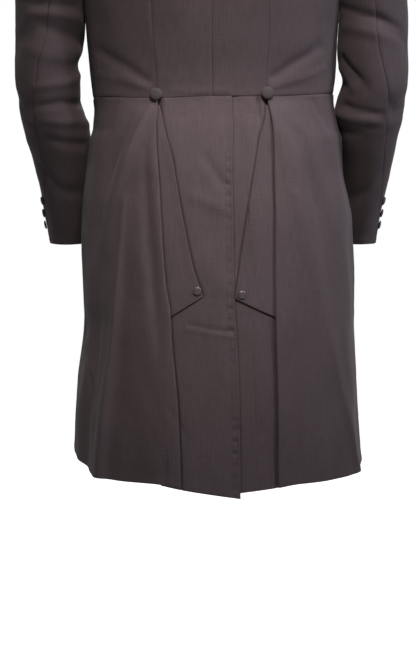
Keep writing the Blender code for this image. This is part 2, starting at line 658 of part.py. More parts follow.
def make_lapel(side, name):
    """Turned back at the roll line and laid on the forepart's own facets."""
    grid = forepart_grid(side)
    normals = grid_normals(grid) * side
    share = np.linspace(0, 1, 11)[:, None]
    degrees = mixed(GORGE_DEGREES + 0.6, LAPEL_END_DEGREES, share)
    part = (degrees - front_outer(2.0)) / (front_edge(2.0) - front_outer(2.0))
    columns = np.interp(part, front_shares(), np.arange(len(front_shares())))
    rows = np.full(columns.shape, len(FRONT_LEVELS) - 1.0)
    base = on_grid(grid, rows, columns)
    normal = unit(on_grid(normals, rows, columns))
    along = np.concatenate([base[1:2] - base[:1], base[2:] - base[:-2], base[-1:] - base[-2:-1]])
    onward = unit(np.cross(normal, along))
    rising = base - on_grid(grid, rows - 0.5, columns)
    onward = onward * np.sign((onward * rising).sum(axis=-1, keepdims=True))
    above = LAPEL_LIFT + GORGE_LIFT * (1 - ease(share / 0.5))
    radius = above[..., None] / 2
    turn = np.radians(np.linspace(0, 180, 5))[None, :, None]
    start = base + onward * 4 * SEAM_GAP
    bend = start + onward * radius * np.sin(turn) + normal * radius * (1 - np.cos(turn))
    edge = points(side * through(LAPEL_EDGE, 1, share), through(LAPEL_EDGE, 2, share),
                  through(LAPEL_EDGE, 3, share))
    edge_rows, edge_columns = (found[:, None] for found in nearest_on(grid, edge))
    across = np.linspace(0, 1, 7)[None, 1:]
    leaf_rows = mixed(rows, edge_rows, across ** 0.7)
    leaf_columns = mixed(columns, edge_columns, across)
    lift = above + 0.0014 * np.sin(np.pi * across)
    leaf = on_grid(grid, leaf_rows, leaf_columns)
    leaf = leaf + unit(on_grid(normals, leaf_rows, leaf_columns)) * lift[..., None]
    cloth(name, np.concatenate([bend, leaf], axis=1))


def body_height(x, y):
    """Height of the shoulders' outer face above plan positions."""
    degrees, level = np.meshgrid(np.linspace(0.5, 172, 130), np.linspace(1.15, 2.0, 60))
    sample = bodice_form(degrees, level).reshape(-1, 3)
    flat = np.hypot(np.abs(x).reshape(-1, 1) - sample[:, 0], y.reshape(-1, 1) - sample[:, 1])
    nearest = np.argsort(flat, axis=1)[:, :6]
    weight = 1 / (np.take_along_axis(flat, nearest, axis=1) ** 2 + 1e-6)
    height = (sample[:, 2][nearest] * weight).sum(axis=1) / weight.sum(axis=1)
    return height.reshape(np.shape(x))


def make_collar():
    half = np.concatenate([np.linspace(0, COLLAR_SIDE_NECK, 6), np.linspace(COLLAR_SIDE_NECK, 1, 5)[1:]])
    share = np.concatenate([-half[:0:-1], half])[:, None]
    away = np.abs(share)
    back = BACK_NECK_DEGREES * away / COLLAR_SIDE_NECK
    front = mixed(FRONT_NECK_DEGREES, GORGE_DEGREES - 0.6, (away - COLLAR_SIDE_NECK) / (1 - COLLAR_SIDE_NECK))
    side = np.where(share >= 0, 1.0, -1.0)
    seam = top_edge(side * np.where(away <= COLLAR_SIDE_NECK, back, front))
    outward = unit(points(seam[..., 0] * 1.15, seam[..., 1] * np.where(seam[..., 1] > 0, 1.0, 0.35), 0.0))
    upward = points(0.0, 0.0, 1.0)
    stand = through(COLLAR, 1, away)[..., None]
    reach = through(COLLAR, 2, away)[..., None]
    lean = through(COLLAR, 3, away)[..., None]
    up = np.array([0.0, 0.5, 1.0])[None, :, None]
    rise = seam + upward * (COLLAR_SEAM_RISE + stand * up) - outward * lean * up
    top = seam + upward * (COLLAR_SEAM_RISE + stand) - outward * (lean - COLLAR_TURN)
    turn = np.radians(np.linspace(180, 0, 5))[None, 1:, None]
    bend = top + outward * COLLAR_TURN * np.cos(turn) + upward * COLLAR_TURN * np.sin(turn)
    end = seam + outward * reach
    end[..., 2] = body_height(end[..., 0], end[..., 1]) + COLLAR_CLEAR
    start = bend[:, -1:, :]
    knee = start + (end - start) * np.array([0.45, 0.45, 0.0]) - upward * np.maximum(stand * 0.55, 0.001)
    t = np.linspace(0, 1, 6)[None, 1:, None]
    fall = (1 - t) ** 2 * start + 2 * t * (1 - t) * knee + t * t * end
    floor = body_height(fall[..., 0], fall[..., 1]) + COLLAR_CLEAR
    fall[..., 2] = np.maximum(fall[..., 2], floor)
    cloth("collar", np.concatenate([rise, bend, fall], axis=1))


def sleeve_grid(side, first, last, columns):
    """Rows from the armhole to the cuff between two seam lines."""
    head_share = np.linspace(0, 1, 6)
    arm_z = np.array(ARM_ROWS)
    head_z = mixed(-0.20, arm_z[0], head_share)
    share = np.concatenate([[0.0, 0.03], np.linspace(0, 1, columns)[1:-1], [0.97, 1.0]])[None, :]
    head_turn = mixed(first(head_z)[:, None], last(head_z)[:, None], share)
    head = sleeve_head(side, head_turn, head_share[:, None])
    arm_turn = mixed(first(arm_z)[:, None], last(arm_z)[:, None], share)[1:]
    arm = sleeve_ring(side, arm_turn, np.broadcast_to(arm_z[1:, None], arm_turn.shape))
    return np.concatenate([head, arm], axis=0)


def hindarm(z):
    return through(HINDARM_SEAM, 1, z)


def make_sleeve(side, word):
    def forearm(z):
        return np.full(np.shape(z), FOREARM_SEAM)

    def hindarm_again(z):
        return 360 + hindarm(z)

    top = sleeve_grid(side, hindarm, forearm, 12)
    under = sleeve_grid(side, forearm, hindarm_again, 8)
    cloth("top_sleeve_" + word, trimmed(top, low=0, high=0, first=2.6, last=2.6))
    cloth("under_sleeve_" + word, trimmed(under, low=0, high=0, first=2.6, last=2.6))


# Panels of the skirt
SKIRT_DOWN = np.linspace(0, 1, 18)[:, None]


def side_fold(side, z):
    return through(SIDE_FOLD, 1 if side > 0 else 2, z)


def below_seam(side, degrees, z):
    return two_sided(WAIST_SEAM, side * degrees) - z


def under_depth(drop):
    """How far the skirt back dips under the side fold, gone a little below the waist seam."""
    return 2 * LAYER * (1 - ease(drop / SETTLE_DROP))


def return_lift(drop):
    """Room between skirt back and pleat return: one layer at the seam, two where the flap starts."""
    return LAYER * (1 + ease(drop / FLAP_START_DROP)) + 0.0001


def back_out(side, degrees, z, fold):
    """Offset of the skirt back from the body form at an angle before or past the side fold."""
    before = (fold - degrees) * 0.0030
    drop = below_seam(side, degrees, z)
    return -under_depth(drop) * (1 - ease(before / 0.014))


def under_distances():
    """How far past the side fold the hidden columns of skirt back and pleat return lie."""
    return TURN_RADIUS + np.array([1.0, 0.72, 0.44, 0.22]) * (PLEAT_UNDERLAP - TURN_RADIUS)


def make_skirt_back(side, name):
    down = SKIRT_DOWN
    z = skirt_z(side * 35.0, down)
    fold = side_fold(side, z)
    hidden = stepped(fold, z, np.concatenate([[TURN_RADIUS], under_distances()[::-1]])[None, :])
    vent = through(VENT_EDGE, 1, z) if side > 0 else -VENT_UNDERLAP_DEGREES + 0 * z
    open_part = np.linspace(0, 1, 9)[None, :]
    degrees = np.concatenate([mixed(vent, fold, open_part), hidden], axis=1)
    z = skirt_z(side * degrees, down)
    out = back_out(side, degrees, z, fold)
    out = out + side_overlap(side, degrees)
    cloth(name, trimmed(skirt(side * degrees, z, out), low=1.6, high=0, first=0, last=0))


def make_skirt_side(side, name):
    down = SKIRT_DOWN
    z = skirt_z(side * 35.0, down)
    fold = side_fold(side, z)
    drop = below_seam(side, fold, z)
    base = -under_depth(drop)
    return_out = base + return_lift(drop)
    outer_out = return_out + 2 * TURN_RADIUS
    back_distance = under_distances()[None, :]
    settled = ease((back_distance - 0.009) / (PLEAT_UNDERLAP - 0.009))
    back_offset = mixed(return_out, base + 1.15 * LAYER, settled)
    bend_turn = np.radians(np.array([270.0, 225.0, 180.0, 135.0, 90.0]))[None, :]
    bend_distance = TURN_RADIUS * (1 + np.cos(bend_turn)) + 0 * fold
    bend_offset = return_out + TURN_RADIUS + TURN_RADIUS * np.sin(bend_turn)
    distance = np.concatenate([np.broadcast_to(back_distance, (len(fold), 4)), bend_distance], axis=1)
    offset = np.concatenate([back_offset, bend_offset], axis=1)
    degrees = stepped(fold, z, distance)
    first = stepped(fold, z, TURN_RADIUS)
    steps = np.concatenate([np.linspace(0, 0.30, 9), np.linspace(0.30, 1.0, 14)[1:]])[None, 1:]
    outer_degrees = mixed(first, FRONT_EDGE_DEGREES, steps)
    outer_distance = (outer_degrees - first) * 0.0031
    outer_offset = outer_out * (1 - ease(outer_distance / FOLD_FADE))
    outer_offset = outer_offset + front_shift(side, outer_degrees)
    degrees = np.concatenate([degrees, outer_degrees], axis=1)
    offset = np.concatenate([offset, outer_offset], axis=1)
    z = skirt_z(side * degrees, down)
    cloth(name, trimmed(skirt(side * degrees, z, offset), low=1.6, high=0, first=0, last=0))


def make_side_edge(side, name):
    share = np.linspace(0, 1, 10)[:, None]
    edge = FLAP_EDGE_LEFT if side > 0 else FLAP_EDGE_RIGHT
    edge_degrees = through(edge, 1, share)
    edge_z = through(edge, 2, share)
    root_z = mixed(edge_z[0], FLAP_ROOT_END, share)
    root_degrees = stepped(side_fold(side, root_z), root_z, FLAP_ROOT_DEPTH)
    across = np.linspace(0, 1, 7)[None, :]
    degrees = mixed(root_degrees, edge_degrees, across)
    z = mixed(root_z, edge_z, across)
    out = back_out(side, degrees, z, side_fold(side, z)) + LAYER
    out = out + side_overlap(side, degrees)
    cloth(name, skirt(side * degrees, z, out))


def side_overlap(side, degrees):
    """The skirt backs' lift where the left laps over the right, for what lies on them."""
    if side > 0:
        return OVERLAP_SHIFT * (1 - ease((degrees - 9) / 9))
    return -OVERLAP_SHIFT * (1 - ease((degrees - 16) / 9))


# Buttons
def skirt_frame(degrees, z):
    return surface_frame(skirt, degrees, z)


def make_buttons():
    for side, word, degrees, z in ((1, "left", 39.4, -0.4588), (-1, "right", 38.8, -0.4572)):
        form = surface_frame(ring, side * degrees, z)
        button("hip_button_" + word, form[0], form[1], HIP_BUTTON, HIP_BUTTON_ABOVE, 0.0030)
    for side, word, degrees, z in ((1, "left", 7.6, -0.7505), (-1, "right", 15.0, -0.7560)):
        point, normal = skirt_frame(side * degrees, z)
        lift = LAYER + side_overlap(side, degrees) + WALL / 2 + SEAM_GAP + 0.0004
        button("side_edge_button_" + word, point, normal, SMALL_BUTTON, lift)
    for side, word in ((1, "left"), (-1, "right")):
        for number, z in enumerate((-0.606, -0.629, -0.651), 1):
            turn = float(hindarm(z)) + 14.0
            here = sleeve_ring(side, turn, z)
            around = sleeve_ring(side, turn + 2, z) - sleeve_ring(side, turn - 2, z)
            along = sleeve_ring(side, turn, z + 0.004) - sleeve_ring(side, turn, z - 0.004)
            normal = unit(np.cross(along, around)) * side
            name = "cuff_button_%s_%d" % (word, number)
            button(name, here, normal, CUFF_BUTTON, WALL / 2 + SEAM_GAP + 0.0003)
    for number, (level, room) in enumerate(FRONT_BUTTON_PLACES, 1):
        point, normal = surface_frame(bodice_form, 180.0, level, step_up=0.02)
        lift = OVERLAP_SHIFT + WALL / 2 + SEAM_GAP + room
        button("front_button_%d" % number, point, normal, FRONT_BUTTON, lift)


for SIDE, WORD in ((1, "left"), (-1, "right")):
    make_back(SIDE, "back_" + WORD)
    make_side_body(SIDE, "side_body_" + WORD)
    make_forepart(SIDE, "forepart_" + WORD)
    make_lapel(SIDE, "lapel_" + WORD)
    make_sleeve(SIDE, WORD)
    make_skirt_back(SIDE, "skirt_back_" + WORD)
    make_skirt_side(SIDE, "skirt_side_" + WORD)
    make_side_edge(SIDE, "side_edge_" + WORD)
make_collar()
make_buttons()
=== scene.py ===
"""Looks of a frock coat worn on a general figure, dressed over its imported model.

Metres, +Z up, +X the wearer's left, the front faces -Y. Every panel of cloth is a surface worked out
on a grid of two parameters, with its folds, seams and creases moved in or out along its normal, and
made a thin closed wall. Angles go round the body from the centre back, positive to the left.
"""

import logging
from collections.abc import Callable, Sequence
from dataclasses import dataclass, field
from enum import Enum
from typing import Any

import bpy
import numpy as np
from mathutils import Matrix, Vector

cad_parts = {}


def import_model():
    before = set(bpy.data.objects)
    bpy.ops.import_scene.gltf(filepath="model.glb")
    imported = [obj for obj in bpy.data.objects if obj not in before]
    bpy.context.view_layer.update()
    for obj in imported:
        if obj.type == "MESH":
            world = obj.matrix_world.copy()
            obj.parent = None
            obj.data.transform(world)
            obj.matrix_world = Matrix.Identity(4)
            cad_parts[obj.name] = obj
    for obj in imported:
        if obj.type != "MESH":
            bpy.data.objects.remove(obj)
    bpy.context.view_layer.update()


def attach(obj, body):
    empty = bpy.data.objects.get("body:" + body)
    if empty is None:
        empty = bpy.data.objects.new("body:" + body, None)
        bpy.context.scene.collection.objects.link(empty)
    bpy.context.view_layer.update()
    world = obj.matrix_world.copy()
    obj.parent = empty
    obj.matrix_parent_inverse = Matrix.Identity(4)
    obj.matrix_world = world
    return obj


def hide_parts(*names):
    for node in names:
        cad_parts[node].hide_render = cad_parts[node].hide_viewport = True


LOG = logging.getLogger("frock_coat")
Numbers = float | np.ndarray
Rows = tuple[tuple[float, ...], ...]
Surface = Callable[[Numbers, Numbers], np.ndarray]
SIDES = ((1, "left"), (-1, "right"))

# Cloth, seams and layers
WALL = 0.0018
SEAM_GAP = 0.0003
LAYER = 0.0023
TURN_RADIUS = 0.0012
OVERLAP_SHIFT = 0.0012
FORM_POWER = 2.35
# Metres of cloth that one degree takes round the skirt, the bodice and a sleeve
SKIRT_DEGREE = 0.0031
BODICE_DEGREE = 0.0029
SLEEVE_DEGREE = 0.0010

# Outer size of the body form by height: z, left half-width, right half-width, back and front depth
BODY = (
    (-1.080, 0.2130, 0.2330, 0.1960, 0.1900),
    (-1.022, 0.2110, 0.2294, 0.1900, 0.1860),
    (-1.005, 0.2108, 0.2275, 0.1885, 0.1845),
    (-0.957, 0.2097, 0.2245, 0.1840, 0.1810),
    (-0.903, 0.2055, 0.2225, 0.1790, 0.1770),
    (-0.841, 0.1980, 0.2203, 0.1730, 0.1720),
    (-0.802, 0.1950, 0.2180, 0.1700, 0.1680),
    (-0.771, 0.1970, 0.2167, 0.1670, 0.1650),
    (-0.683, 0.1980, 0.2145, 0.1580, 0.1560),
    (-0.647, 0.1970, 0.2133, 0.1540, 0.1510),
    (-0.616, 0.1960, 0.2075, 0.1500, 0.1470),
    (-0.587, 0.1935, 0.2009, 0.1450, 0.1430),
    (-0.570, 0.1916, 0.1990, 0.1420, 0.1400),
    (-0.526, 0.1870, 0.1985, 0.1310, 0.1330),
    (-0.506, 0.1815, 0.1928, 0.1250, 0.1300),
    (-0.484, 0.1807, 0.1880, 0.1160, 0.1260),
    (-0.460, 0.1830, 0.1860, 0.1090, 0.1230),
    (-0.430, 0.1868, 0.1890, 0.1110, 0.1250),
    (-0.377, 0.1915, 0.1915, 0.1210, 0.1310),
    (-0.310, 0.1970, 0.1970, 0.1330, 0.1400),
    (-0.250, 0.2020, 0.2020, 0.1410, 0.1490),
    (-0.200, 0.2050, 0.2050, 0.1430, 0.1520),
)

# Waist seam and hem heights round the body: degrees, left z, right z
WAIST_SEAM = (
    (0.0, -0.4620, -0.4620),
    (40.0, -0.4640, -0.4620),
    (90.0, -0.4597, -0.4535),
    (190.0, -0.4700, -0.4700),
)
HEM = (
    (0.0, -1.0460, -1.0510),
    (11.0, -1.0410, -1.0470),
    (26.0, -1.0340, -1.0410),
    (40.0, -1.0330, -1.0355),
    (53.0, -1.0310, -1.0345),
    (72.0, -1.0160, -1.0310),
    (90.0, -1.0060, -1.0230),
    (190.0, -1.0000, -1.0050),
)

# Skirt lines by height, in degrees: vent edge of the left panel, side fold left and right
VENT_EDGE = (
    (-1.0600, -12.2),
    (-0.9094, -12.5),
    (-0.8367, -12.1),
    (-0.7636, -11.1),
    (-0.5974, -11.5),
    (-0.4600, -15.3),
)
VENT_UNDERLAP_DEGREES = 8.0
VENT_PITCH = 0.0165
VENT_DENT = 0.0024
UNDER_HEM_RISE = 0.0070
VENT_HEM = ((-13.0, -1.0552), (0.0, -1.0491), (11.0, -1.0435), (26.0, -1.0340))
SIDE_FOLD = (
    (-1.0600, 13.2, 28.3),
    (-1.0353, 13.6, 28.4),
    (-0.9096, 16.2, 29.7),
    (-0.8369, 19.2, 30.2),
    (-0.7858, 20.7, 30.5),
    (-0.7345, 23.8, 31.1),
    (-0.6166, 28.4, 33.5),
    (-0.5400, 33.2, 36.2),
    (-0.4600, 39.4, 39.6),
)
PLEAT_UNDERLAP = 0.030
PRESSED_WIDTH = 0.0026
PRESSED_DEPTH = 0.0022
SETTLE_DROP = 0.030
FLAP_START_DROP = 0.026
FOLD_FADE = 0.085

# Pointed side flaps: share of the way down, degrees and z of the free edge (left, then right)
FLAP_EDGE_LEFT = (
    (0.00, 36.6, -0.4760),
    (0.10, 32.6, -0.4985),
    (0.30, 23.1, -0.5602),
    (0.62, 16.1, -0.6432),
    (0.86, 9.8, -0.7180),
    (1.00, 4.6, -0.7590),
)
FLAP_EDGE_RIGHT = (
    (0.00, 37.2, -0.4760),
    (0.10, 34.2, -0.4985),
    (0.18, 29.6, -0.5227),
    (0.50, 21.8, -0.6033),
    (0.80, 15.5, -0.6933),
    (1.00, 11.6, -0.7620),
)
FLAP_ROOT_DEPTH = 0.007
FLAP_ROOT_END = -0.7930

# Soft folds of the skirt: rows of degrees, z, half-width and height along each fold
FOLDS_LEFT = (
    ((43.0, -0.486, 0.010, 0.0000), (49.6, -0.557, 0.015, 0.0050), (59.2, -0.636, 0.017, 0.0025)),
    ((46.6, -0.616, 0.009, 0.0010), (47.7, -0.765, 0.010, 0.0050), (51.1, -0.929, 0.011, 0.0075),
     (52.6, -1.050, 0.012, 0.0085)),
    ((60.0, -0.640, 0.014, -0.0020), (63.0, -0.800, 0.016, -0.0060), (67.0, -1.040, 0.018, -0.0080)),
    ((30.0, -0.900, 0.022, 0.0000), (33.0, -1.050, 0.024, -0.0040)),
    ((100.0, -0.560, 0.030, 0.0000), (104.0, -1.030, 0.036, 0.0100)),
    ((126.0, -0.560, 0.030, 0.0000), (130.0, -1.030, 0.034, -0.0080)),
    ((146.0, -0.560, 0.028, 0.0000), (150.0, -1.030, 0.032, 0.0080)),
)
FOLDS_RIGHT = (
    ((-41.0, -0.507, 0.010, 0.0000), (-45.8, -0.552, 0.014, 0.0045), (-47.8, -0.740, 0.017, 0.0045),
     (-46.5, -0.900, 0.018, 0.0020)),
    ((-37.8, -0.800, 0.009, -0.0010), (-37.4, -0.838, 0.010, -0.0040), (-35.0, -1.050, 0.012, -0.0055)),
    ((-56.8, -0.800, 0.010, 0.0010), (-61.5, -0.882, 0.012, 0.0040), (-70.1, -0.980, 0.013, 0.0055),
     (-74.0, -1.040, 0.014, 0.0055)),
    ((-52.0, -0.820, 0.014, -0.0010), (-56.0, -1.040, 0.018, -0.0050)),
    ((-98.0, -0.560, 0.030, 0.0000), (-104.0, -1.030, 0.036, 0.0090)),
    ((-124.0, -0.560, 0.030, 0.0000), (-128.0, -1.030, 0.034, -0.0080)),
    ((-145.0, -0.560, 0.028, 0.0000), (-150.0, -1.030, 0.032, 0.0080)),
)
# Soft folds of the bodice, the same columns
BODICE_FOLDS = (
    ((70.0, -0.392, 0.011, -0.0020), (45.0, -0.438, 0.009, -0.0020)),
    ((-66.0, -0.386, 0.011, -0.0025), (-43.0, -0.432, 0.009, -0.0020)),
    ((-56.0, -0.424, 0.010, 0.0015), (-42.0, -0.452, 0.007, 0.0010)),
    ((58.0, -0.430, 0.010, 0.0015), (44.0, -0.452, 0.007, 0.0010)),
)

# Bodice: neck, shoulder and armhole
CHEST_Z_SIDE = -0.235
CHEST_Z_FRONT = -0.320
NAPE = (0.0, 0.066, -0.016)
SIDE_NECK = (0.078, 0.0, 0.0)
SHOULDER_TIP = (0.216, 0.004, -0.048)
ROLL_CONTROL = (0.066, -0.172, -0.092)
BREAK_POINT = (-0.016, -0.141, -0.300)
BACK_NECK_DEGREES = 33.75
FRONT_NECK_DEGREES = 150.0
FRONT_EDGE_DEGREES = 186.0
ARMHOLE_MIDDLE = (90.0, 1.5)
ARMHOLE_HALF_HEIGHT = 0.5
ARMHOLE_BACK_DEGREES = 23.0
ARMHOLE_FRONT_DEGREES = 29.0
BACK_SEAM_MEETS = -30.0
SIDE_SEAM_MEETS = -110.0

# Side-back seam by bodice height (0 waist, 1 chest line, 2 shoulder): degrees left and right
SIDE_BACK_SEAM = (
    (0.00, 39.9, 38.9),
    (0.35, 38.4, 37.0),
    (0.68, 36.6, 34.4),
    (0.90, 38.8, 37.4),
    (1.08, 50.0, 49.6),
    (1.25, 70.1, 70.1),
)
BACK_SEAM_TOP_LEVEL = SIDE_BACK_SEAM[-1][0]
SIDE_SEAM_WAIST_DEGREES = 84.0

# Sleeve centre line: z, then left x and half-width, right x and half-width, y, half-depth, tilt
SLEEVE = (
    (-0.306, 0.2496, 0.0538, 0.2492, 0.0510, -0.004, 0.069, 0.0),
    (-0.337, 0.2490, 0.0540, 0.2485, 0.0532, -0.002, 0.069, 0.0),
    (-0.365, 0.2490, 0.0540, 0.2476, 0.0541, 0.000, 0.068, 1.0),
    (-0.385, 0.2502, 0.0528, 0.2470, 0.0545, 0.003, 0.067, 3.0),
    (-0.409, 0.2550, 0.0485, 0.2482, 0.0534, 0.004, 0.066, 5.0),
    (-0.435, 0.2532, 0.0498, 0.2512, 0.0498, 0.003, 0.066, 8.0),
    (-0.462, 0.2517, 0.0487, 0.2462, 0.0528, -0.003, 0.066, 12.0),
    (-0.485, 0.2471, 0.0495, 0.2418, 0.0532, -0.010, 0.065, 15.0),
    (-0.515, 0.2394, 0.0503, 0.2420, 0.0470, -0.024, 0.063, 19.0),
    (-0.542, 0.2365, 0.0450, 0.2424, 0.0418, -0.038, 0.061, 22.0),
    (-0.570, 0.2348, 0.0408, 0.2420, 0.0380, -0.052, 0.059, 24.0),
    (-0.600, 0.2330, 0.0368, 0.2390, 0.0342, -0.067, 0.057, 24.0),
    (-0.635, 0.2315, 0.0338, 0.2345, 0.0330, -0.084, 0.055, 19.0),
    (-0.664, 0.2298, 0.0316, 0.2322, 0.0312, -0.098, 0.054, 9.0),
    (-0.684, 0.2284, 0.0304, 0.2308, 0.0306, -0.107, 0.054, 2.0),
)
SLEEVE_UP = SLEEVE[::-1]
HINDARM_SEAM = (
    (-0.700, 66.0),
    (-0.664, 62.0),
    (-0.600, 45.0),
    (-0.535, 31.0),
    (-0.467, 24.0),
    (-0.430, 15.0),
    (-0.340, -2.0),
    (-0.200, -10.0),
)
FOREARM_SEAM = 212.0
ARM_X = 0.2515
HEAD_Z = -0.20
# Folds of the left sleeve, and of the right one mirrored: degrees round it, z, half-width, height
SLEEVE_FOLDS = (
    ((-20.0, -0.330, 0.012, -0.003), (60.0, -0.380, 0.014, -0.003)),
    ((-40.0, -0.430, 0.008, -0.002), (40.0, -0.470, 0.012, -0.004), (90.0, -0.455, 0.012, -0.002)),
    ((-30.0, -0.490, 0.010, -0.003), (50.0, -0.500, 0.010, -0.001)),
    ((150.0, -0.440, 0.012, -0.004), (230.0, -0.450, 0.012, -0.004)),
)

# Collar: share from the centre back, stand height, fall reach from the neck seam, lean
COLLAR = (
    (0.00, 0.036, 0.012, 0.005),
    (0.35, 0.034, 0.014, 0.005),
    (0.62, 0.026, 0.028, 0.004),
    (0.80, 0.014, 0.034, 0.002),
    (1.00, 0.006, 0.036, 0.000),
)
COLLAR_SIDE_NECK = 0.62
COLLAR_TURN = 0.0035
GORGE_DEGREES = 157.0
COLLAR_CLEAR = 0.0056
COLLAR_SEAM_RISE = 0.0022

# Lapel: last angle of its roll line, and its height over the forepart
LAPEL_END_DEGREES = 178.5
LAPEL_LIFT = 0.0042
GORGE_LIFT = 0.0022

# Profile of a button, radius and height over its own, and of its shank below it
BUTTON_PROFILE = (
    (0.001, 0.00), (0.450, 0.00), (0.780, 0.02), (0.930, 0.10), (0.995, 0.26), (0.985, 0.42),
    (0.940, 0.58), (0.840, 0.74), (0.680, 0.87), (0.480, 0.95), (0.250, 0.99), (0.001, 1.00),
)
SHANK_PROFILE = ((0.001, 1.0), (0.280, 1.0), (0.300, 0.3), (0.320, 0.0))
# Hip and flap buttons, left then right: degrees and height; the hip buttons' backs stand clear
HIP_BUTTON_PLACES = ((39.4, -0.4588), (38.8, -0.4572))
HIP_BUTTON_ABOVE = 0.0046
FLAP_BUTTON_PLACES = ((7.6, -0.7505), (15.0, -0.7560))
CUFF_BUTTON_HEIGHTS = (-0.606, -0.629, -0.651)
CUFF_BUTTON_TURN = 14.0
# Front buttons: bodice height and added room
FRONT_BUTTON_PLACES = ((0.88, 0.0002), (0.62, 0.0002), (0.36, 0.0003), (0.10, 0.0010))
# Finer creases of the skirt: rows of degrees, z, half-width and height along each
SKIRT_CREASES = (
    ((41.5, -0.480, 0.0050, 0.0018), (46.0, -0.545, 0.0066, 0.0056), (53.0, -0.620, 0.0080, 0.0046),
     (60.0, -0.700, 0.0100, 0.0004)),
    ((51.0, -0.500, 0.0080, -0.0010), (57.0, -0.570, 0.0105, -0.0066), (64.0, -0.650, 0.0120, -0.0040),
     (70.0, -0.730, 0.0120, -0.0003)),
    ((46.8, -0.617, 0.0032, 0.0010), (47.0, -0.766, 0.0040, 0.0034), (48.8, -0.855, 0.0042, 0.0040),
     (50.8, -1.035, 0.0042, 0.0032)),
    ((44.0, -0.700, 0.0100, -0.0009), (45.0, -0.860, 0.0120, -0.0029), (46.5, -1.030, 0.0130, -0.0032)),
    ((76.0, -0.830, 0.0040, 0.0020), (68.0, -0.870, 0.0040, 0.0017), (60.0, -0.902, 0.0040, 0.0006)),
    ((73.0, -0.850, 0.0080, -0.0020), (60.0, -0.925, 0.0080, -0.0014)),
    ((20.2, -1.008, 0.0030, -0.0012), (20.0, -1.042, 0.0030, -0.0014)),
    ((12.2, -0.800, 0.0030, -0.0009), (1.0, -0.807, 0.0035, -0.0014), (-10.2, -0.811, 0.0030, -0.0017)),
    ((12.0, -0.806, 0.0040, 0.0007), (-9.0, -0.817, 0.0040, 0.0012)),
    ((18.0, -0.930, 0.0050, -0.0014), (12.5, -0.962, 0.0050, -0.0007)),
    ((-11.8, -0.952, 0.0040, -0.0017), (-10.4, -0.955, 0.0040, -0.0012)),
    ((-33.5, -0.466, 0.0040, -0.0017), (-31.5, -0.490, 0.0050, -0.0023)),
    ((-36.0, -0.470, 0.0030, 0.0014), (-34.0, -0.492, 0.0040, 0.0017)),
    ((-28.0, -0.468, 0.0050, 0.0006), (-30.0, -0.500, 0.0060, -0.0012)),
    ((-56.8, -0.815, 0.0030, 0.0009), (-60.5, -0.882, 0.0030, 0.0019), (-68.0, -0.979, 0.0032, 0.0023),
     (-70.2, -1.015, 0.0034, 0.0023)),
    ((-50.0, -0.520, 0.0100, -0.0026), (-56.0, -0.620, 0.0120, -0.0070), (-60.0, -0.750, 0.0140, -0.0050),
     (-62.0, -0.850, 0.0150, -0.0006)),
    ((-42.0, -0.530, 0.0050, -0.0012), (-43.0, -0.600, 0.0060, -0.0017)),
    ((62.0, -0.470, 0.0060, -0.0014), (66.0, -0.510, 0.0090, -0.0020)),
    ((-64.0, -0.466, 0.0060, -0.0014), (-70.0, -0.505, 0.0090, -0.0020)),
    ((84.0, -0.480, 0.0080, 0.0012), (88.0, -0.600, 0.0120, 0.0032), (90.0, -0.800, 0.0140, 0.0014)),
    ((-84.0, -0.480, 0.0080, 0.0012), (-88.0, -0.610, 0.0120, 0.0032), (-91.0, -0.790, 0.0140, 0.0014)),
    ((112.0, -0.500, 0.0060, -0.0014), (114.0, -0.750, 0.0090, -0.0032), (116.0, -1.020, 0.0110, -0.0032)),
    ((-113.0, -0.510, 0.0060, -0.0014), (-116.0, -0.730, 0.0090, -0.0032), (-117.0, -1.020, 0.0110, -0.0029)),
    ((137.0, -0.520, 0.0060, 0.0014), (141.0, -0.780, 0.0080, 0.0026), (142.0, -1.010, 0.0100, 0.0032)),
    ((-136.0, -0.530, 0.0060, 0.0014), (-139.0, -0.760, 0.0080, 0.0026), (-141.0, -1.010, 0.0100, 0.0029)),
    ((160.0, -0.490, 0.0070, -0.0012), (163.0, -0.640, 0.0100, -0.0023), (164.0, -0.860, 0.0120, -0.0012)),
    ((-158.0, -0.490, 0.0070, -0.0012), (-162.0, -0.660, 0.0100, -0.0023), (-165.0, -0.850, 0.0120, -0.0012)),
    ((4.0, -0.556, 0.010, -0.0018), (-6.0, -0.592, 0.010, -0.0026)),
    ((10.0, -0.612, 0.010, 0.0014), (-5.0, -0.628, 0.010, 0.0022)),
    ((4.0, -0.700, 0.020, 0.0018), (-5.0, -0.740, 0.020, 0.0024)),
    ((39.0, -0.500, 0.008, -0.0001), (37.5, -0.560, 0.008, -0.0024), (33.0, -0.650, 0.009, -0.0050),
     (28.5, -0.760, 0.009, -0.0042), (24.0, -0.860, 0.010, -0.0010)),
    ((-40.0, -0.500, 0.010, 0.0016), (-44.0, -0.640, 0.012, 0.0046), (-50.0, -0.740, 0.012, 0.0034),
     (-53.0, -0.820, 0.012, 0.0003)),
)
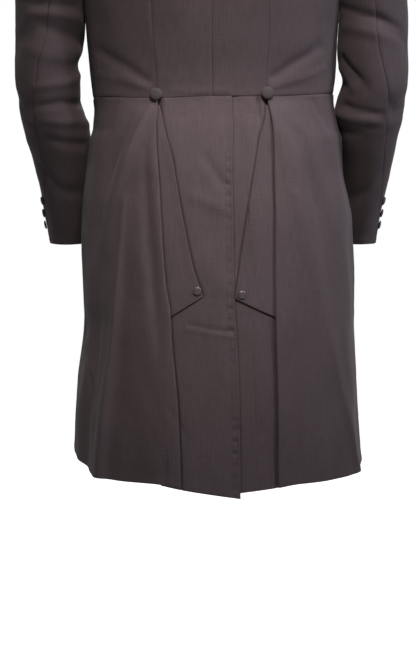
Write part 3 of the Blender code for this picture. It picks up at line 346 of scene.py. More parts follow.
# Finer creases of the bodice, the same columns
BODICE_CREASES = (
    ((-66.0, -0.270, 0.022, -0.0030), (-68.0, -0.350, 0.024, -0.0056), (-70.0, -0.430, 0.018, -0.0026)),
    ((66.0, -0.270, 0.022, -0.0020), (68.0, -0.350, 0.024, -0.0036), (70.0, -0.430, 0.018, -0.0016)),
    ((72.0, -0.392, 0.007, -0.0006), (58.0, -0.412, 0.008, -0.0011), (45.0, -0.438, 0.006, -0.0008)),
    ((75.0, -0.425, 0.007, 0.0005), (58.0, -0.438, 0.006, 0.0008), (44.0, -0.450, 0.005, 0.0005)),
    ((-68.0, -0.388, 0.007, -0.0010), (-55.0, -0.408, 0.008, -0.0016), (-42.0, -0.434, 0.006, -0.0012)),
    ((-72.0, -0.418, 0.006, 0.0010), (-56.0, -0.436, 0.006, 0.0014), (-43.0, -0.449, 0.005, 0.0008)),
    ((30.0, -0.452, 0.004, 0.0006), (10.0, -0.455, 0.004, 0.0008), (-12.0, -0.453, 0.004, 0.0007)),
    ((60.0, -0.120, 0.014, -0.0018), (48.0, -0.200, 0.016, -0.0022), (40.0, -0.260, 0.016, -0.0008)),
    ((-60.0, -0.120, 0.014, -0.0018), (-48.0, -0.200, 0.016, -0.0022), (-40.0, -0.260, 0.016, -0.0008)),
    ((72.0, -0.250, 0.012, -0.0020), (60.0, -0.310, 0.012, -0.0012)),
    ((-73.0, -0.245, 0.012, -0.0020), (-61.0, -0.300, 0.012, -0.0012)),
    ((177.0, -0.322, 0.006, -0.0010), (152.0, -0.345, 0.010, -0.0016), (128.0, -0.330, 0.014, -0.0018)),
    ((-176.0, -0.322, 0.006, -0.0010), (-150.0, -0.345, 0.010, -0.0016), (-127.0, -0.330, 0.014, -0.0018)),
    ((176.0, -0.372, 0.006, -0.0010), (146.0, -0.385, 0.010, -0.0014), (122.0, -0.370, 0.012, -0.0012)),
    ((-176.0, -0.370, 0.006, -0.0010), (-147.0, -0.382, 0.010, -0.0014), (-120.0, -0.372, 0.012, -0.0012)),
    ((174.0, -0.425, 0.006, -0.0008), (140.0, -0.434, 0.010, 0.0012), (112.0, -0.424, 0.012, 0.0008)),
    ((-174.0, -0.428, 0.006, -0.0008), (-141.0, -0.436, 0.010, 0.0012), (-113.0, -0.424, 0.012, 0.0008)),
    ((116.0, -0.200, 0.012, -0.0024), (126.0, -0.270, 0.014, -0.0016)),
    ((-116.0, -0.195, 0.012, -0.0024), (-127.0, -0.265, 0.014, -0.0016)),
    ((100.0, -0.280, 0.012, -0.0014), (118.0, -0.300, 0.014, -0.0014)),
    ((-100.0, -0.275, 0.012, -0.0014), (-118.0, -0.296, 0.014, -0.0014)),
)
# Finer creases of the sleeves: rows of degrees round the arm, z, half-width and height along each
LEFT_SLEEVE_CREASES = (
    ((50.0, -0.316, 0.0070, -0.0020), (10.0, -0.322, 0.0080, -0.0048), (-50.0, -0.322, 0.0080, -0.0044)),
    ((30.0, -0.336, 0.0070, 0.0020), (-10.0, -0.336, 0.0080, 0.0042), (-60.0, -0.342, 0.0080, 0.0036)),
    ((5.0, -0.356, 0.0090, -0.0036), (-40.0, -0.367, 0.0130, -0.0078), (-85.0, -0.376, 0.0140, -0.0070)),
    ((60.0, -0.380, 0.0100, 0.0012), (-10.0, -0.396, 0.0100, 0.0030), (-60.0, -0.402, 0.0090, 0.0020)),
    ((20.0, -0.437, 0.0051, 0.0013), (-40.0, -0.432, 0.0068, 0.0038), (-90.0, -0.425, 0.0068, 0.0026)),
    ((22.0, -0.462, 0.0051, -0.0019), (-30.0, -0.458, 0.0068, -0.0042), (-95.0, -0.470, 0.0068, -0.0042)),
    ((15.0, -0.480, 0.0051, 0.0013), (-50.0, -0.485, 0.0076, 0.0038), (-95.0, -0.500, 0.0068, 0.0026)),
    ((10.0, -0.505, 0.0059, -0.0016), (-60.0, -0.520, 0.0085, -0.0042)),
    ((40.0, -0.545, 0.0085, -0.0016), (5.0, -0.575, 0.0102, -0.0022), (-50.0, -0.590, 0.0102, -0.0016)),
    ((130.0, -0.250, 0.0119, -0.0032), (190.0, -0.300, 0.0119, -0.0038)),
    ((140.0, -0.462, 0.0068, 0.0035), (215.0, -0.470, 0.0076, 0.0042)),
    ((130.0, -0.485, 0.0076, -0.0042), (220.0, -0.492, 0.0085, -0.0042)),
    ((150.0, -0.515, 0.0076, 0.0029), (225.0, -0.525, 0.0085, 0.0032)),
    ((120.0, -0.415, 0.0085, 0.0022), (215.0, -0.405, 0.0085, 0.0032)),
    ((60.0, -0.150, 0.0102, -0.0026), (75.0, -0.230, 0.0119, -0.0022)),
    ((20.0, -0.210, 0.0102, -0.0038), (-5.0, -0.270, 0.0102, -0.0032)),
    ((115.0, -0.140, 0.0102, -0.0022), (105.0, -0.230, 0.0119, -0.0022)),
)
RIGHT_SLEEVE_CREASES = (
    ((-75.0, -0.322, 0.0068, -0.0029), (-30.0, -0.335, 0.0076, -0.0054), (10.0, -0.345, 0.0068, -0.0048),
     (45.0, -0.357, 0.0051, -0.0016)),
    ((-60.0, -0.352, 0.0085, 0.0026), (0.0, -0.366, 0.0085, 0.0038), (50.0, -0.380, 0.0085, 0.0016)),
    ((-64.0, -0.400, 0.0068, -0.0042), (-40.0, -0.420, 0.0068, -0.0048), (-19.0, -0.440, 0.0059, -0.0016)),
    ((-80.0, -0.415, 0.0076, 0.0026), (-45.0, -0.440, 0.0076, 0.0038)),
    ((-58.0, -0.464, 0.0059, -0.0042), (-20.0, -0.468, 0.0059, -0.0035), (16.0, -0.472, 0.0043, -0.0016)),
    ((-70.0, -0.478, 0.0059, 0.0026), (0.0, -0.481, 0.0059, 0.0032), (18.0, -0.484, 0.0043, 0.0013)),
    ((-80.0, -0.498, 0.0076, -0.0038), (-20.0, -0.500, 0.0076, -0.0016)),
    ((35.0, -0.550, 0.0085, -0.0013), (0.0, -0.580, 0.0102, -0.0019), (-50.0, -0.600, 0.0102, -0.0016)),
    ((132.0, -0.255, 0.0119, -0.0032), (192.0, -0.305, 0.0119, -0.0038)),
    ((138.0, -0.458, 0.0068, 0.0035), (216.0, -0.466, 0.0076, 0.0042)),
    ((132.0, -0.482, 0.0076, -0.0042), (218.0, -0.490, 0.0085, -0.0042)),
    ((152.0, -0.512, 0.0076, 0.0029), (222.0, -0.522, 0.0085, 0.0032)),
    ((118.0, -0.412, 0.0085, 0.0022), (214.0, -0.402, 0.0085, 0.0032)),
    ((62.0, -0.155, 0.0102, -0.0026), (76.0, -0.235, 0.0119, -0.0022)),
    ((22.0, -0.205, 0.0102, -0.0038), (-2.0, -0.265, 0.0102, -0.0032)),
    ((117.0, -0.145, 0.0102, -0.0022), (106.0, -0.235, 0.0119, -0.0022)),
)


def through(rows: Rows, column: int, at: Numbers) -> np.ndarray:
    """Smooth monotone curve through one column of a table, read at given places.

    Args:
        rows: Table whose first column rises.
        column: Column to read.
        at: Places along the first column.

    Returns:
        The column's value at each place.
    """
    xs = np.array([row[0] for row in rows], float)
    ys = np.array([row[column] for row in rows], float)
    gap = np.diff(xs)
    rise = np.diff(ys) / gap
    before, after = rise[:-1], rise[1:]
    same = before * after > 0
    total = np.where(same, before + after, 1.0)
    slope = np.concatenate([[rise[0]], np.where(same, 2 * before * after / total, 0.0), [rise[-1]]])
    at = np.clip(np.asarray(at, float), xs[0], xs[-1])
    i = np.clip(np.searchsorted(xs, at) - 1, 0, len(xs) - 2)
    t = (at - xs[i]) / gap[i]
    start = (1 + 2 * t) * (1 - t) ** 2 * ys[i] + t * (1 - t) ** 2 * gap[i] * slope[i]
    end = t * t * (3 - 2 * t) * ys[i + 1] + t * t * (t - 1) * gap[i] * slope[i + 1]
    return start + end


def ease(t: Numbers) -> np.ndarray:
    """0 to 1 with flat ends: three t squared less two t cubed.

    Args:
        t: Share of the way, held between 0 and 1.

    Returns:
        The eased share.
    """
    t = np.clip(t, 0.0, 1.0)
    return t * t * (3 - 2 * t)


def bell(away: Numbers, width: Numbers) -> np.ndarray:
    """A bell curve, 1 at nought.

    Args:
        away: Distance from the middle.
        width: Distance at which it has fallen to a bit over a third.

    Returns:
        Its height.
    """
    return np.exp(-(away / width) ** 2)


def mixed(a: Numbers, b: Numbers, t: Numbers) -> np.ndarray:
    """Straight mix of a and b by the share t.

    Args:
        a: Value at share 0.
        b: Value at share 1.
        t: The share.

    Returns:
        a plus t times their difference.
    """
    return a + (b - a) * t


def points(x: Numbers, y: Numbers, z: Numbers) -> np.ndarray:
    """Three arrays joined as points.

    Args:
        x: Across.
        y: Back.
        z: Up.

    Returns:
        Array whose last axis holds x, y and z.
    """
    return np.stack(np.broadcast_arrays(x, y, z), axis=-1).astype(float)


def unit(vectors: np.ndarray) -> np.ndarray:
    """Vectors brought to length one.

    Args:
        vectors: Array whose last axis is a vector.

    Returns:
        The same directions, each of length one.
    """
    return vectors / np.maximum(np.linalg.norm(vectors, axis=-1, keepdims=True), 1e-12)


def cubic(start: np.ndarray, first: np.ndarray, second: np.ndarray, end: np.ndarray,
          t: np.ndarray) -> np.ndarray:
    """Points of a cubic curve.

    Args:
        start: Where it starts.
        first: Point that it sets out towards.
        second: Point that it arrives from.
        end: Where it ends.
        t: Share of the way.

    Returns:
        The points.
    """
    return (1 - t) ** 3 * start + 3 * t * (1 - t) ** 2 * first + 3 * t * t * (1 - t) * second + t ** 3 * end


def two_sided(rows: Rows, degrees: Numbers) -> np.ndarray:
    """A table of degrees, left value, right value, read on the side the angle is on.

    Args:
        rows: The table.
        degrees: Angles, positive to the left.

    Returns:
        The left value where the angle is positive, else the right one.
    """
    left = through(rows, 1, np.abs(degrees))
    right = through(rows, 2, np.abs(degrees))
    return np.where(np.asarray(degrees) >= 0, left, right)


def ring(degrees: Numbers, z: Numbers) -> np.ndarray:
    """Mid-surface of the body form: a superellipse at each height.

    Args:
        degrees: Angle from the centre back.
        z: Height.

    Returns:
        Points where the ray at the angle meets the superellipse of that height.
    """
    degrees, z = np.broadcast_arrays(np.asarray(degrees, float), np.asarray(z, float))
    sine, cosine = np.sin(np.radians(degrees)), np.cos(np.radians(degrees))
    half = np.where(sine >= 0, through(BODY, 1, z), through(BODY, 2, z)) - WALL / 2
    depth = np.where(cosine >= 0, through(BODY, 3, z), through(BODY, 4, z)) - WALL / 2
    power = FORM_POWER
    reach = ((np.abs(sine) / half) ** power + (np.abs(cosine) / depth) ** power) ** (-1 / power)
    return points(reach * sine, reach * cosine, z)


def fold_height(folds: tuple, across: Numbers, z: Numbers, metres_per_degree: float) -> np.ndarray:
    """Sum of soft folds, each a bell across the line through its rows.

    Args:
        folds: Folds, each rows of degrees, z, half-width and height.
        across: Angle of each point.
        z: Height of each point.
        metres_per_degree: Length of a degree on the cloth.

    Returns:
        Height above the plain cloth.
    """
    total = np.zeros(np.broadcast(across, z).shape)
    for rows in folds:
        nearest = np.full(total.shape, 1e9)
        height = np.zeros(total.shape)
        for (d0, z0, w0, h0), (d1, z1, w1, h1) in zip(rows[:-1], rows[1:]):
            run = (d1 - d0) * metres_per_degree
            drop = z1 - z0
            from_start = (across - d0) * metres_per_degree
            share = np.clip((from_start * run + (z - z0) * drop) / (run * run + drop * drop), 0, 1)
            away = np.hypot(from_start - share * run, z - z0 - share * drop)
            away = away / mixed(w0, w1, share)
            closer = away < nearest
            height = np.where(closer, mixed(h0, h1, share), height)
            nearest = np.where(closer, away, nearest)
        total = total + height * np.exp(-nearest ** 2)
    return total


def moved_out(surface: Surface, across: Numbers, up: Numbers, out: Numbers,
              step_across: float = 0.4, step_up: float = 0.004) -> np.ndarray:
    """Points of a surface moved along its outward normal.

    Args:
        surface: Function of two parameters.
        across: First parameter.
        up: Second parameter.
        out: Distance to move.
        step_across: Half step used for the normal, across.
        step_up: Half step used for the normal, up.

    Returns:
        The moved points.
    """
    sideways = surface(across + step_across, up) - surface(across - step_across, up)
    upwards = surface(across, up + step_up) - surface(across, up - step_up)
    normal = unit(np.cross(upwards, sideways))
    return surface(across, up) + normal * np.asarray(out, float)[..., None]


def skirt(degrees: Numbers, z: Numbers, out: Numbers = 0.0) -> np.ndarray:
    """Skirt mid-surface with its soft folds.

    Args:
        degrees: Angle from the centre back.
        z: Height.
        out: Further distance along the normal.

    Returns:
        Points of the skirt.
    """
    degrees, z, out = np.broadcast_arrays(np.asarray(degrees, float), np.asarray(z, float), out)
    folds = (fold_height(FOLDS_LEFT, degrees, z, SKIRT_DEGREE)
             + fold_height(FOLDS_RIGHT, degrees, z, SKIRT_DEGREE))
    return moved_out(ring, degrees, z, out + folds)


def skirt_z(degrees: Numbers, down: Numbers) -> np.ndarray:
    """Height at a share of the way from the waist seam to the hem.

    Args:
        degrees: Angle from the centre back.
        down: 0 at the waist seam, 1 at the hem.

    Returns:
        The height.
    """
    return mixed(two_sided(WAIST_SEAM, degrees), two_sided(HEM, degrees), down)


def stepped(degrees: Numbers, z: Numbers, distance: Numbers) -> np.ndarray:
    """Angle reached by going a distance round the body form from an angle.

    Args:
        degrees: Start.
        z: Height.
        distance: Way to go, in metres.

    Returns:
        The angle reached.
    """
    reached = np.asarray(degrees, float)
    count = 6
    for _ in range(count):
        speed = np.linalg.norm(ring(reached + 0.5, z) - ring(reached - 0.5, z), axis=-1)
        reached = reached + np.asarray(distance, float) / count / speed
    return reached


def top_edge(degrees: Numbers) -> np.ndarray:
    """Top of the bodice: back neck, shoulder seam, then the roll line down to the break.

    Args:
        degrees: Angle from the centre back.

    Returns:
        A quarter ellipse, a straight line and a quadratic curve, joined.
    """
    turn = np.abs(degrees)
    side = np.where(np.asarray(degrees) >= 0, 1.0, -1.0)
    quarter = np.radians(90 * np.clip(turn / BACK_NECK_DEGREES, 0, 1))
    neck = points(
        SIDE_NECK[0] * np.sin(quarter),
        NAPE[1] * np.cos(quarter),
        NAPE[2] * np.cos(quarter) ** 2,
    )
    back_share = np.clip((turn - BACK_NECK_DEGREES) / (90 - BACK_NECK_DEGREES), 0, 1)
    front_share = np.clip((FRONT_NECK_DEGREES - turn) / (FRONT_NECK_DEGREES - 90), 0, 1)
    share = np.where(turn <= 90, back_share, front_share)[..., None]
    shoulder = mixed(np.array(SIDE_NECK), np.array(SHOULDER_TIP), share)
    shoulder[..., 2] += 0.004 * np.sin(np.pi * share[..., 0])
    t = np.clip((turn - FRONT_NECK_DEGREES) / (FRONT_EDGE_DEGREES - FRONT_NECK_DEGREES), 0, 1)[..., None]
    roll = (1 - t) ** 2 * np.array(SIDE_NECK) + 2 * t * (1 - t) * np.array(ROLL_CONTROL)
    roll = roll + t * t * np.array(BREAK_POINT)
    result = np.where((turn < BACK_NECK_DEGREES)[..., None], neck, shoulder)
    result = np.where((turn > FRONT_NECK_DEGREES)[..., None], roll, result)
    return result * points(side, 1.0, 1.0)


def chest_z(degrees: Numbers) -> np.ndarray:
    """Height of the chest line, lower at the front.

    Args:
        degrees: Angle from the centre back.

    Returns:
        The height.
    """
    return mixed(CHEST_Z_SIDE, CHEST_Z_FRONT, ease((np.abs(degrees) - 105) / 75))


def bodice_form(degrees: Numbers, level: Numbers) -> np.ndarray:
    """Bodice without folds: the body form to the chest line, then a cubic curve to the top edge.

    Args:
        degrees: Angle from the centre back.
        level: 0 at the waist seam, 1 at the chest line, 2 at the top edge.

    Returns:
        Points of the bodice.
    """
    degrees, level = np.broadcast_arrays(np.asarray(degrees, float), np.asarray(level, float))
    low = two_sided(WAIST_SEAM, degrees)
    chest = chest_z(degrees)
    lower = ring(degrees, mixed(low, chest, np.minimum(level, 1.0)))
    start = ring(degrees, chest)
    end = top_edge(degrees)
    rise = (end - start)[..., 2]
    turn = np.abs(degrees)
    back = ease((turn - 5) / 40)
    push = np.where(turn <= 90, mixed(0.030, 0.052, back), -mixed(0.062, 0.014, ease((turn - 140) / 40)))
    push = push * np.where(turn <= 90, 1.0, ease((turn - 90) / 12))
    fall = np.where(turn <= 90, mixed(-0.042, 0.0, back), mixed(0.0, -0.030, ease((turn - 130) / 40)))
    first = start + points(0.0, 0.0, rise * 0.42)
    second = end + points(0.0, push, fall * np.where(turn <= 120, 1.0, np.clip(rise / 0.2, 0.1, 1.0)))
    t = np.clip(level - 1, 0, None)[..., None]
    over = cubic(start, first, second, end, t)
    return np.where((level > 1)[..., None], over, lower)


def bodice(degrees: Numbers, level: Numbers, out: Numbers = 0.0) -> np.ndarray:
    """Bodice with its soft folds.

    Args:
        degrees: Angle from the centre back.
        level: 0 at the waist seam, 1 at the chest line, 2 at the top edge.
        out: Further distance along the normal.

    Returns:
        Points of the bodice.
    """
    degrees, level, out = np.broadcast_arrays(np.asarray(degrees, float), np.asarray(level, float), out)
    z = bodice_form(degrees, np.minimum(level, 1.98))[..., 2]
    folds = fold_height(BODICE_FOLDS, degrees, z, BODICE_DEGREE)
    folds = folds * ease(level / 0.12)
    top = np.minimum(level, 1.995)
    moved = moved_out(bodice_form, degrees, top, out + folds, step_up=0.005) - bodice_form(degrees, top)
    return bodice_form(degrees, level) + moved


def armhole(turn: Numbers) -> tuple[np.ndarray, np.ndarray]:
    """Degrees and level of the armhole.

    Args:
        turn: 90 at the shoulder tip, 0 at the back, -90 below.

    Returns:
        The angle and the level.
    """
    half = np.where(np.cos(np.radians(turn)) >= 0, ARMHOLE_BACK_DEGREES, ARMHOLE_FRONT_DEGREES)
    degrees = ARMHOLE_MIDDLE[0] - half * np.cos(np.radians(turn))
    return degrees, ARMHOLE_MIDDLE[1] + ARMHOLE_HALF_HEIGHT * np.sin(np.radians(turn))


def armhole_centre(side: int) -> np.ndarray:
    """The point of the body form in the middle of the armhole of a side."""
    return bodice_form(np.array(side * ARMHOLE_MIDDLE[0]), np.array(ARMHOLE_MIDDLE[1]))


def sleeve_ring(side: int, turn: Numbers, z: Numbers) -> np.ndarray:
    """Sleeve below the armhole: a tilted ellipse round the arm's line at each height.

    Args:
        side: 1 for the left sleeve, -1 for the right.
        turn: 0 is the back of the arm, 90 the outside, 180 the front.
        z: Height on the arm's line.

    Returns:
        Points of the sleeve.
    """
    column = 1 if side > 0 else 3
    centre_x = through(SLEEVE_UP, column, z)
    half = through(SLEEVE_UP, column + 1, z) - WALL / 2
    centre_y = through(SLEEVE_UP, 5, z)
    depth = through(SLEEVE_UP, 6, z) - WALL / 2
    tilt = np.radians(through(SLEEVE_UP, 7, z))
    folds = fold_height(SLEEVE_FOLDS, turn, z, SLEEVE_DEGREE)
    sine, cosine = np.sin(np.radians(turn)), np.cos(np.radians(turn))
    half, depth = half + folds, depth + folds
    x = centre_x + half * sine
    y = centre_y + depth * cosine * np.cos(tilt)
    return points(side * x, y, z - depth * cosine * np.sin(tilt))


def sleeve_head(side: int, turn: Numbers, share: Numbers) -> np.ndarray:
    """A cubic curve from the armhole to the top of the arm.

    Args:
        side: 1 for the left sleeve, -1 for the right.
        turn: Angle round the sleeve.
        share: 0 at the armhole, 1 at the arm.

    Returns:
        Points of the sleeve head.
    """
    turn, share = np.broadcast_arrays(np.asarray(turn, float), np.asarray(share, float))
    degrees, level = armhole(turn)
    high = (1 + np.sin(np.radians(turn))) / 2
    start = bodice_form(side * degrees, level)
    inward = unit(armhole_centre(side) - start)
    start = start + inward * SEAM_GAP + points(0.0, 0.0, SEAM_GAP * (1 - high))
    end = sleeve_ring(side, turn, np.full(turn.shape, SLEEVE[0][0]))
    reach = mixed(0.014, 0.060, high)
    forward = 0.30 * np.cos(np.radians(turn))
    first = start + points(side * 0.94 * reach, forward * reach, -0.34 * high * reach)
    second = end + points(0.0, 0.0, mixed(0.030, 0.115, high))
    t = share[..., None]
    return cubic(start, first, second, end, t)


def side_fold(side: int, z: Numbers) -> np.ndarray:
    """Angle of the side pleat's fold at a height.

    Args:
        side: 1 left, -1 right.
        z: Height.

    Returns:
        The angle.
    """
    return through(SIDE_FOLD, 1 if side > 0 else 2, z)


def below_seam(side: int, degrees: Numbers, z: Numbers) -> np.ndarray:
    """How far a place lies below the waist seam.

    Args:
        side: 1 left, -1 right.
        degrees: Angle.
        z: Height.

    Returns:
        The drop.
    """
    return two_sided(WAIST_SEAM, side * degrees) - z


def under_depth(drop: Numbers) -> np.ndarray:
    """How far the skirt back dips under the side fold, gone a little below the waist seam.

    Args:
        drop: Distance below the seam.

    Returns:
        The depth.
    """
    return 2 * LAYER * (1 - ease(drop / SETTLE_DROP))


def return_lift(drop: Numbers) -> np.ndarray:
    """Room between skirt back and pleat return: one layer at the seam, two where the flap starts.

    Args:
        drop: Distance below the seam.

    Returns:
        The room.
    """
    return LAYER * (1 + ease(drop / FLAP_START_DROP)) + 0.0001


def back_out(side: int, degrees: Numbers, z: Numbers, fold: Numbers) -> np.ndarray:
    """Offset of the skirt back from the body form at an angle before or past the side fold.

    Args:
        side: 1 left, -1 right.
        degrees: Angle.
        z: Height.
        fold: Angle of the side fold.

    Returns:
        The offset.
    """
    before = (fold - degrees) * 0.0030
    drop = below_seam(side, degrees, z)
    return -under_depth(drop) * (1 - ease(before / 0.014))


def side_overlap(side: int, degrees: Numbers) -> np.ndarray:
    """Lift of the skirt backs where the left laps over the right, for what lies on them.

    Args:
        side: 1 left, -1 right.
        degrees: Angle.

    Returns:
        The lift.
    """
    if side > 0:
        return OVERLAP_SHIFT * (1 - ease((degrees - 9) / 9))
    return -OVERLAP_SHIFT * (1 - ease((degrees - 16) / 9))


def front_shift(side: int, degrees: Numbers, low: float = 158.0, high: float = 173.0) -> np.ndarray:
    """The left front passes over the right one.

    Args:
        side: 1 left, -1 right.
        degrees: Angle.
        low: Angle where the shift starts.
        high: Angle where it is full.

    Returns:
        The offset along the normal.
    """
    return side * OVERLAP_SHIFT * ease((np.abs(degrees) - low) / (high - low))


def front_edge(level: Numbers) -> np.ndarray:
    """Angle of the front edge: past the centre up to the break, short of it above.

    Args:
        level: Bodice level.

    Returns:
        The angle.
    """
    return FRONT_EDGE_DEGREES - 6.4 * ease((level - 0.9) / 0.3)


SIDE_TOP_LEVEL = armhole(SIDE_SEAM_MEETS)[1]


def side_back_seam(side: int, level: Numbers) -> np.ndarray:
    """Angle of the side-back seam.

    Args:
        side: 1 left, -1 right.
        level: Bodice level.

    Returns:
        The angle.
    """
    return through(SIDE_BACK_SEAM, 1 if side > 0 else 2, level)


def side_seam(level: Numbers) -> np.ndarray:
    """Angle of the seam between side body and forepart, up to the armhole.

    Args:
        level: Bodice level.

    Returns:
        The angle.
    """
    meets, top = armhole(SIDE_SEAM_MEETS)
    return mixed(SIDE_SEAM_WAIST_DEGREES, meets, ease(level / top))


def armhole_half(level: Numbers) -> np.ndarray:
    """Share of its half-width that the armhole has at a level."""
    turn = np.arcsin(np.clip((level - ARMHOLE_MIDDLE[1]) / ARMHOLE_HALF_HEIGHT, -1, 1))
    return np.cos(turn)


def back_outer(side: int, level: Numbers) -> np.ndarray:
    """Outer edge of the back: the side-back seam, then the armhole.

    Args:
        side: 1 left, -1 right.
        level: Bodice level.

    Returns:
        The angle.
    """
    hole = ARMHOLE_MIDDLE[0] - ARMHOLE_BACK_DEGREES * armhole_half(level)
    return np.where(level <= BACK_SEAM_TOP_LEVEL, side_back_seam(side, level), hole)


def front_outer(level: Numbers) -> np.ndarray:
    """Outer edge of the forepart: the side seam, then the armhole.

    Args:
        level: Bodice level.

    Returns:
        The angle.
    """
    hole = ARMHOLE_MIDDLE[0] + ARMHOLE_FRONT_DEGREES * armhole_half(level)
    return np.where(level <= SIDE_TOP_LEVEL, side_seam(level), hole)


def hindarm(z: Numbers) -> np.ndarray:
    """Angle of the seam down the back of the arm.

    Args:
        z: Height.

    Returns:
        The angle.
    """
    return through(HINDARM_SEAM, 1, z)


def on_grid(grid: np.ndarray, rows: np.ndarray, columns: np.ndarray) -> np.ndarray:
    """Values of a grid between its points, straight across each cell.

    Args:
        grid: Rows by columns of vectors.
        rows: Fractional rows.
        columns: Fractional columns.

    Returns:
        The values.
    """
    i = np.clip(np.floor(rows).astype(int), 0, grid.shape[0] - 2)
    j = np.clip(np.floor(columns).astype(int), 0, grid.shape[1] - 2)
    s, t = (rows - i)[..., None], (columns - j)[..., None]
    low = mixed(grid[i, j], grid[i, j + 1], t)
    high = mixed(grid[i + 1, j], grid[i + 1, j + 1], t)
    return mixed(low, high, s)


def body_height(x: np.ndarray, y: np.ndarray) -> np.ndarray:
    """Height of the shoulders' outer face above plan positions.

    Args:
        x: Across.
        y: Back.

    Returns:
        Mean height of the nearest samples, the nearer ones weighing more.
    """
    degrees, level = np.meshgrid(np.linspace(0.5, 172, 130), np.linspace(1.15, 2.0, 60))
    sample = bodice_form(degrees, level).reshape(-1, 3)
    flat = np.hypot(np.abs(x).reshape(-1, 1) - sample[:, 0], y.reshape(-1, 1) - sample[:, 1])
    nearest = np.argsort(flat, axis=1)[:, :6]
    weight = 1 / (np.take_along_axis(flat, nearest, axis=1) ** 2 + 1e-6)
    height = (sample[:, 2][nearest] * weight).sum(axis=1) / weight.sum(axis=1)
    return height.reshape(np.shape(x))


class Edge(Enum):
    """What a panel's edge does."""

    SEAM = "seam"
    FREE = "free"
    HIDDEN = "hidden"


class Hold(Enum):
    """How a panel of cloth is held."""

    STRETCHED = "stretched"
    HUNG = "hung"
    FOLDED = "folded"


@dataclass(frozen=True)
class Cut:
    """Flat size of a panel: width and length of its piece, and the cloth in it."""

    width: float
    length: float
    area: float


def grid_normals(grid: np.ndarray) -> np.ndarray:
    """Normal at each point of a grid: the cross product of its steps along rows and columns.

    Args:
        grid: Rows by columns of points.

    Returns:
        Unit normals.
    """
    up = np.gradient(grid, axis=0)
    across = np.gradient(grid, axis=1)
    return unit(np.cross(up, across))


def run_lengths(grid: np.ndarray, axis: int) -> np.ndarray:
    """Distance run along one axis of a grid: the summed lengths of its steps.

    Args:
        grid: Rows by columns of points.
        axis: 0 up the rows, 1 across the columns.

    Returns:
        Distance of each point from the axis's start.
    """
    steps = np.linalg.norm(np.diff(grid, axis=axis), axis=-1)
    start = np.zeros_like(np.take(grid[..., 0], [0], axis=axis))
    return np.concatenate([start, np.cumsum(steps, axis=axis)], axis=axis)


def shares(count: int, length: float, low: bool = True, high: bool = True) -> np.ndarray:
    """Even shares from 0 to 1 with closer ones at the ends, where an edge is rounded.

    Args:
        count: Number of even shares.
        length: Length of the way, in metres.
        low: Whether the start gets closer ones.
        high: Whether the end gets closer ones.

    Returns:
        Rising shares.
    """
    near = np.array([0.0003, 0.0008, 0.0016, 0.0030]) / length
    parts = [np.linspace(0, 1, count)]
    if low:
        parts.append(near)
    if high:
        parts.append(1 - near)
    found = np.unique(np.round(np.concatenate(parts), 7))
    keep = np.concatenate([[True], np.diff(found) > 0.00012 / length])
    keep[-1] = True
    return found[keep]


def unevenness(place: np.ndarray, seed: int, height: float, shortest: float, longest: float) -> np.ndarray:
    """Slow ripples: a sum of sine waves of seeded directions and lengths through the points.

    Args:
        place: Points.
        seed: Seed of the directions.
        height: Height of the whole.
        shortest: Shortest wave, in metres.
        longest: Longest wave, in metres.

    Returns:
        Height at each point.
    """
    chance = np.random.default_rng(seed)
    total = np.zeros(place.shape[:-1])
    for _ in range(9):
        way = unit(chance.normal(size=3) * np.array([1.0, 1.0, 0.6]))
        wave = 2 * np.pi / chance.uniform(shortest, longest)
        total = total + np.sin(place @ way * wave + chance.uniform(0, 6.28))
    return total * height / 3


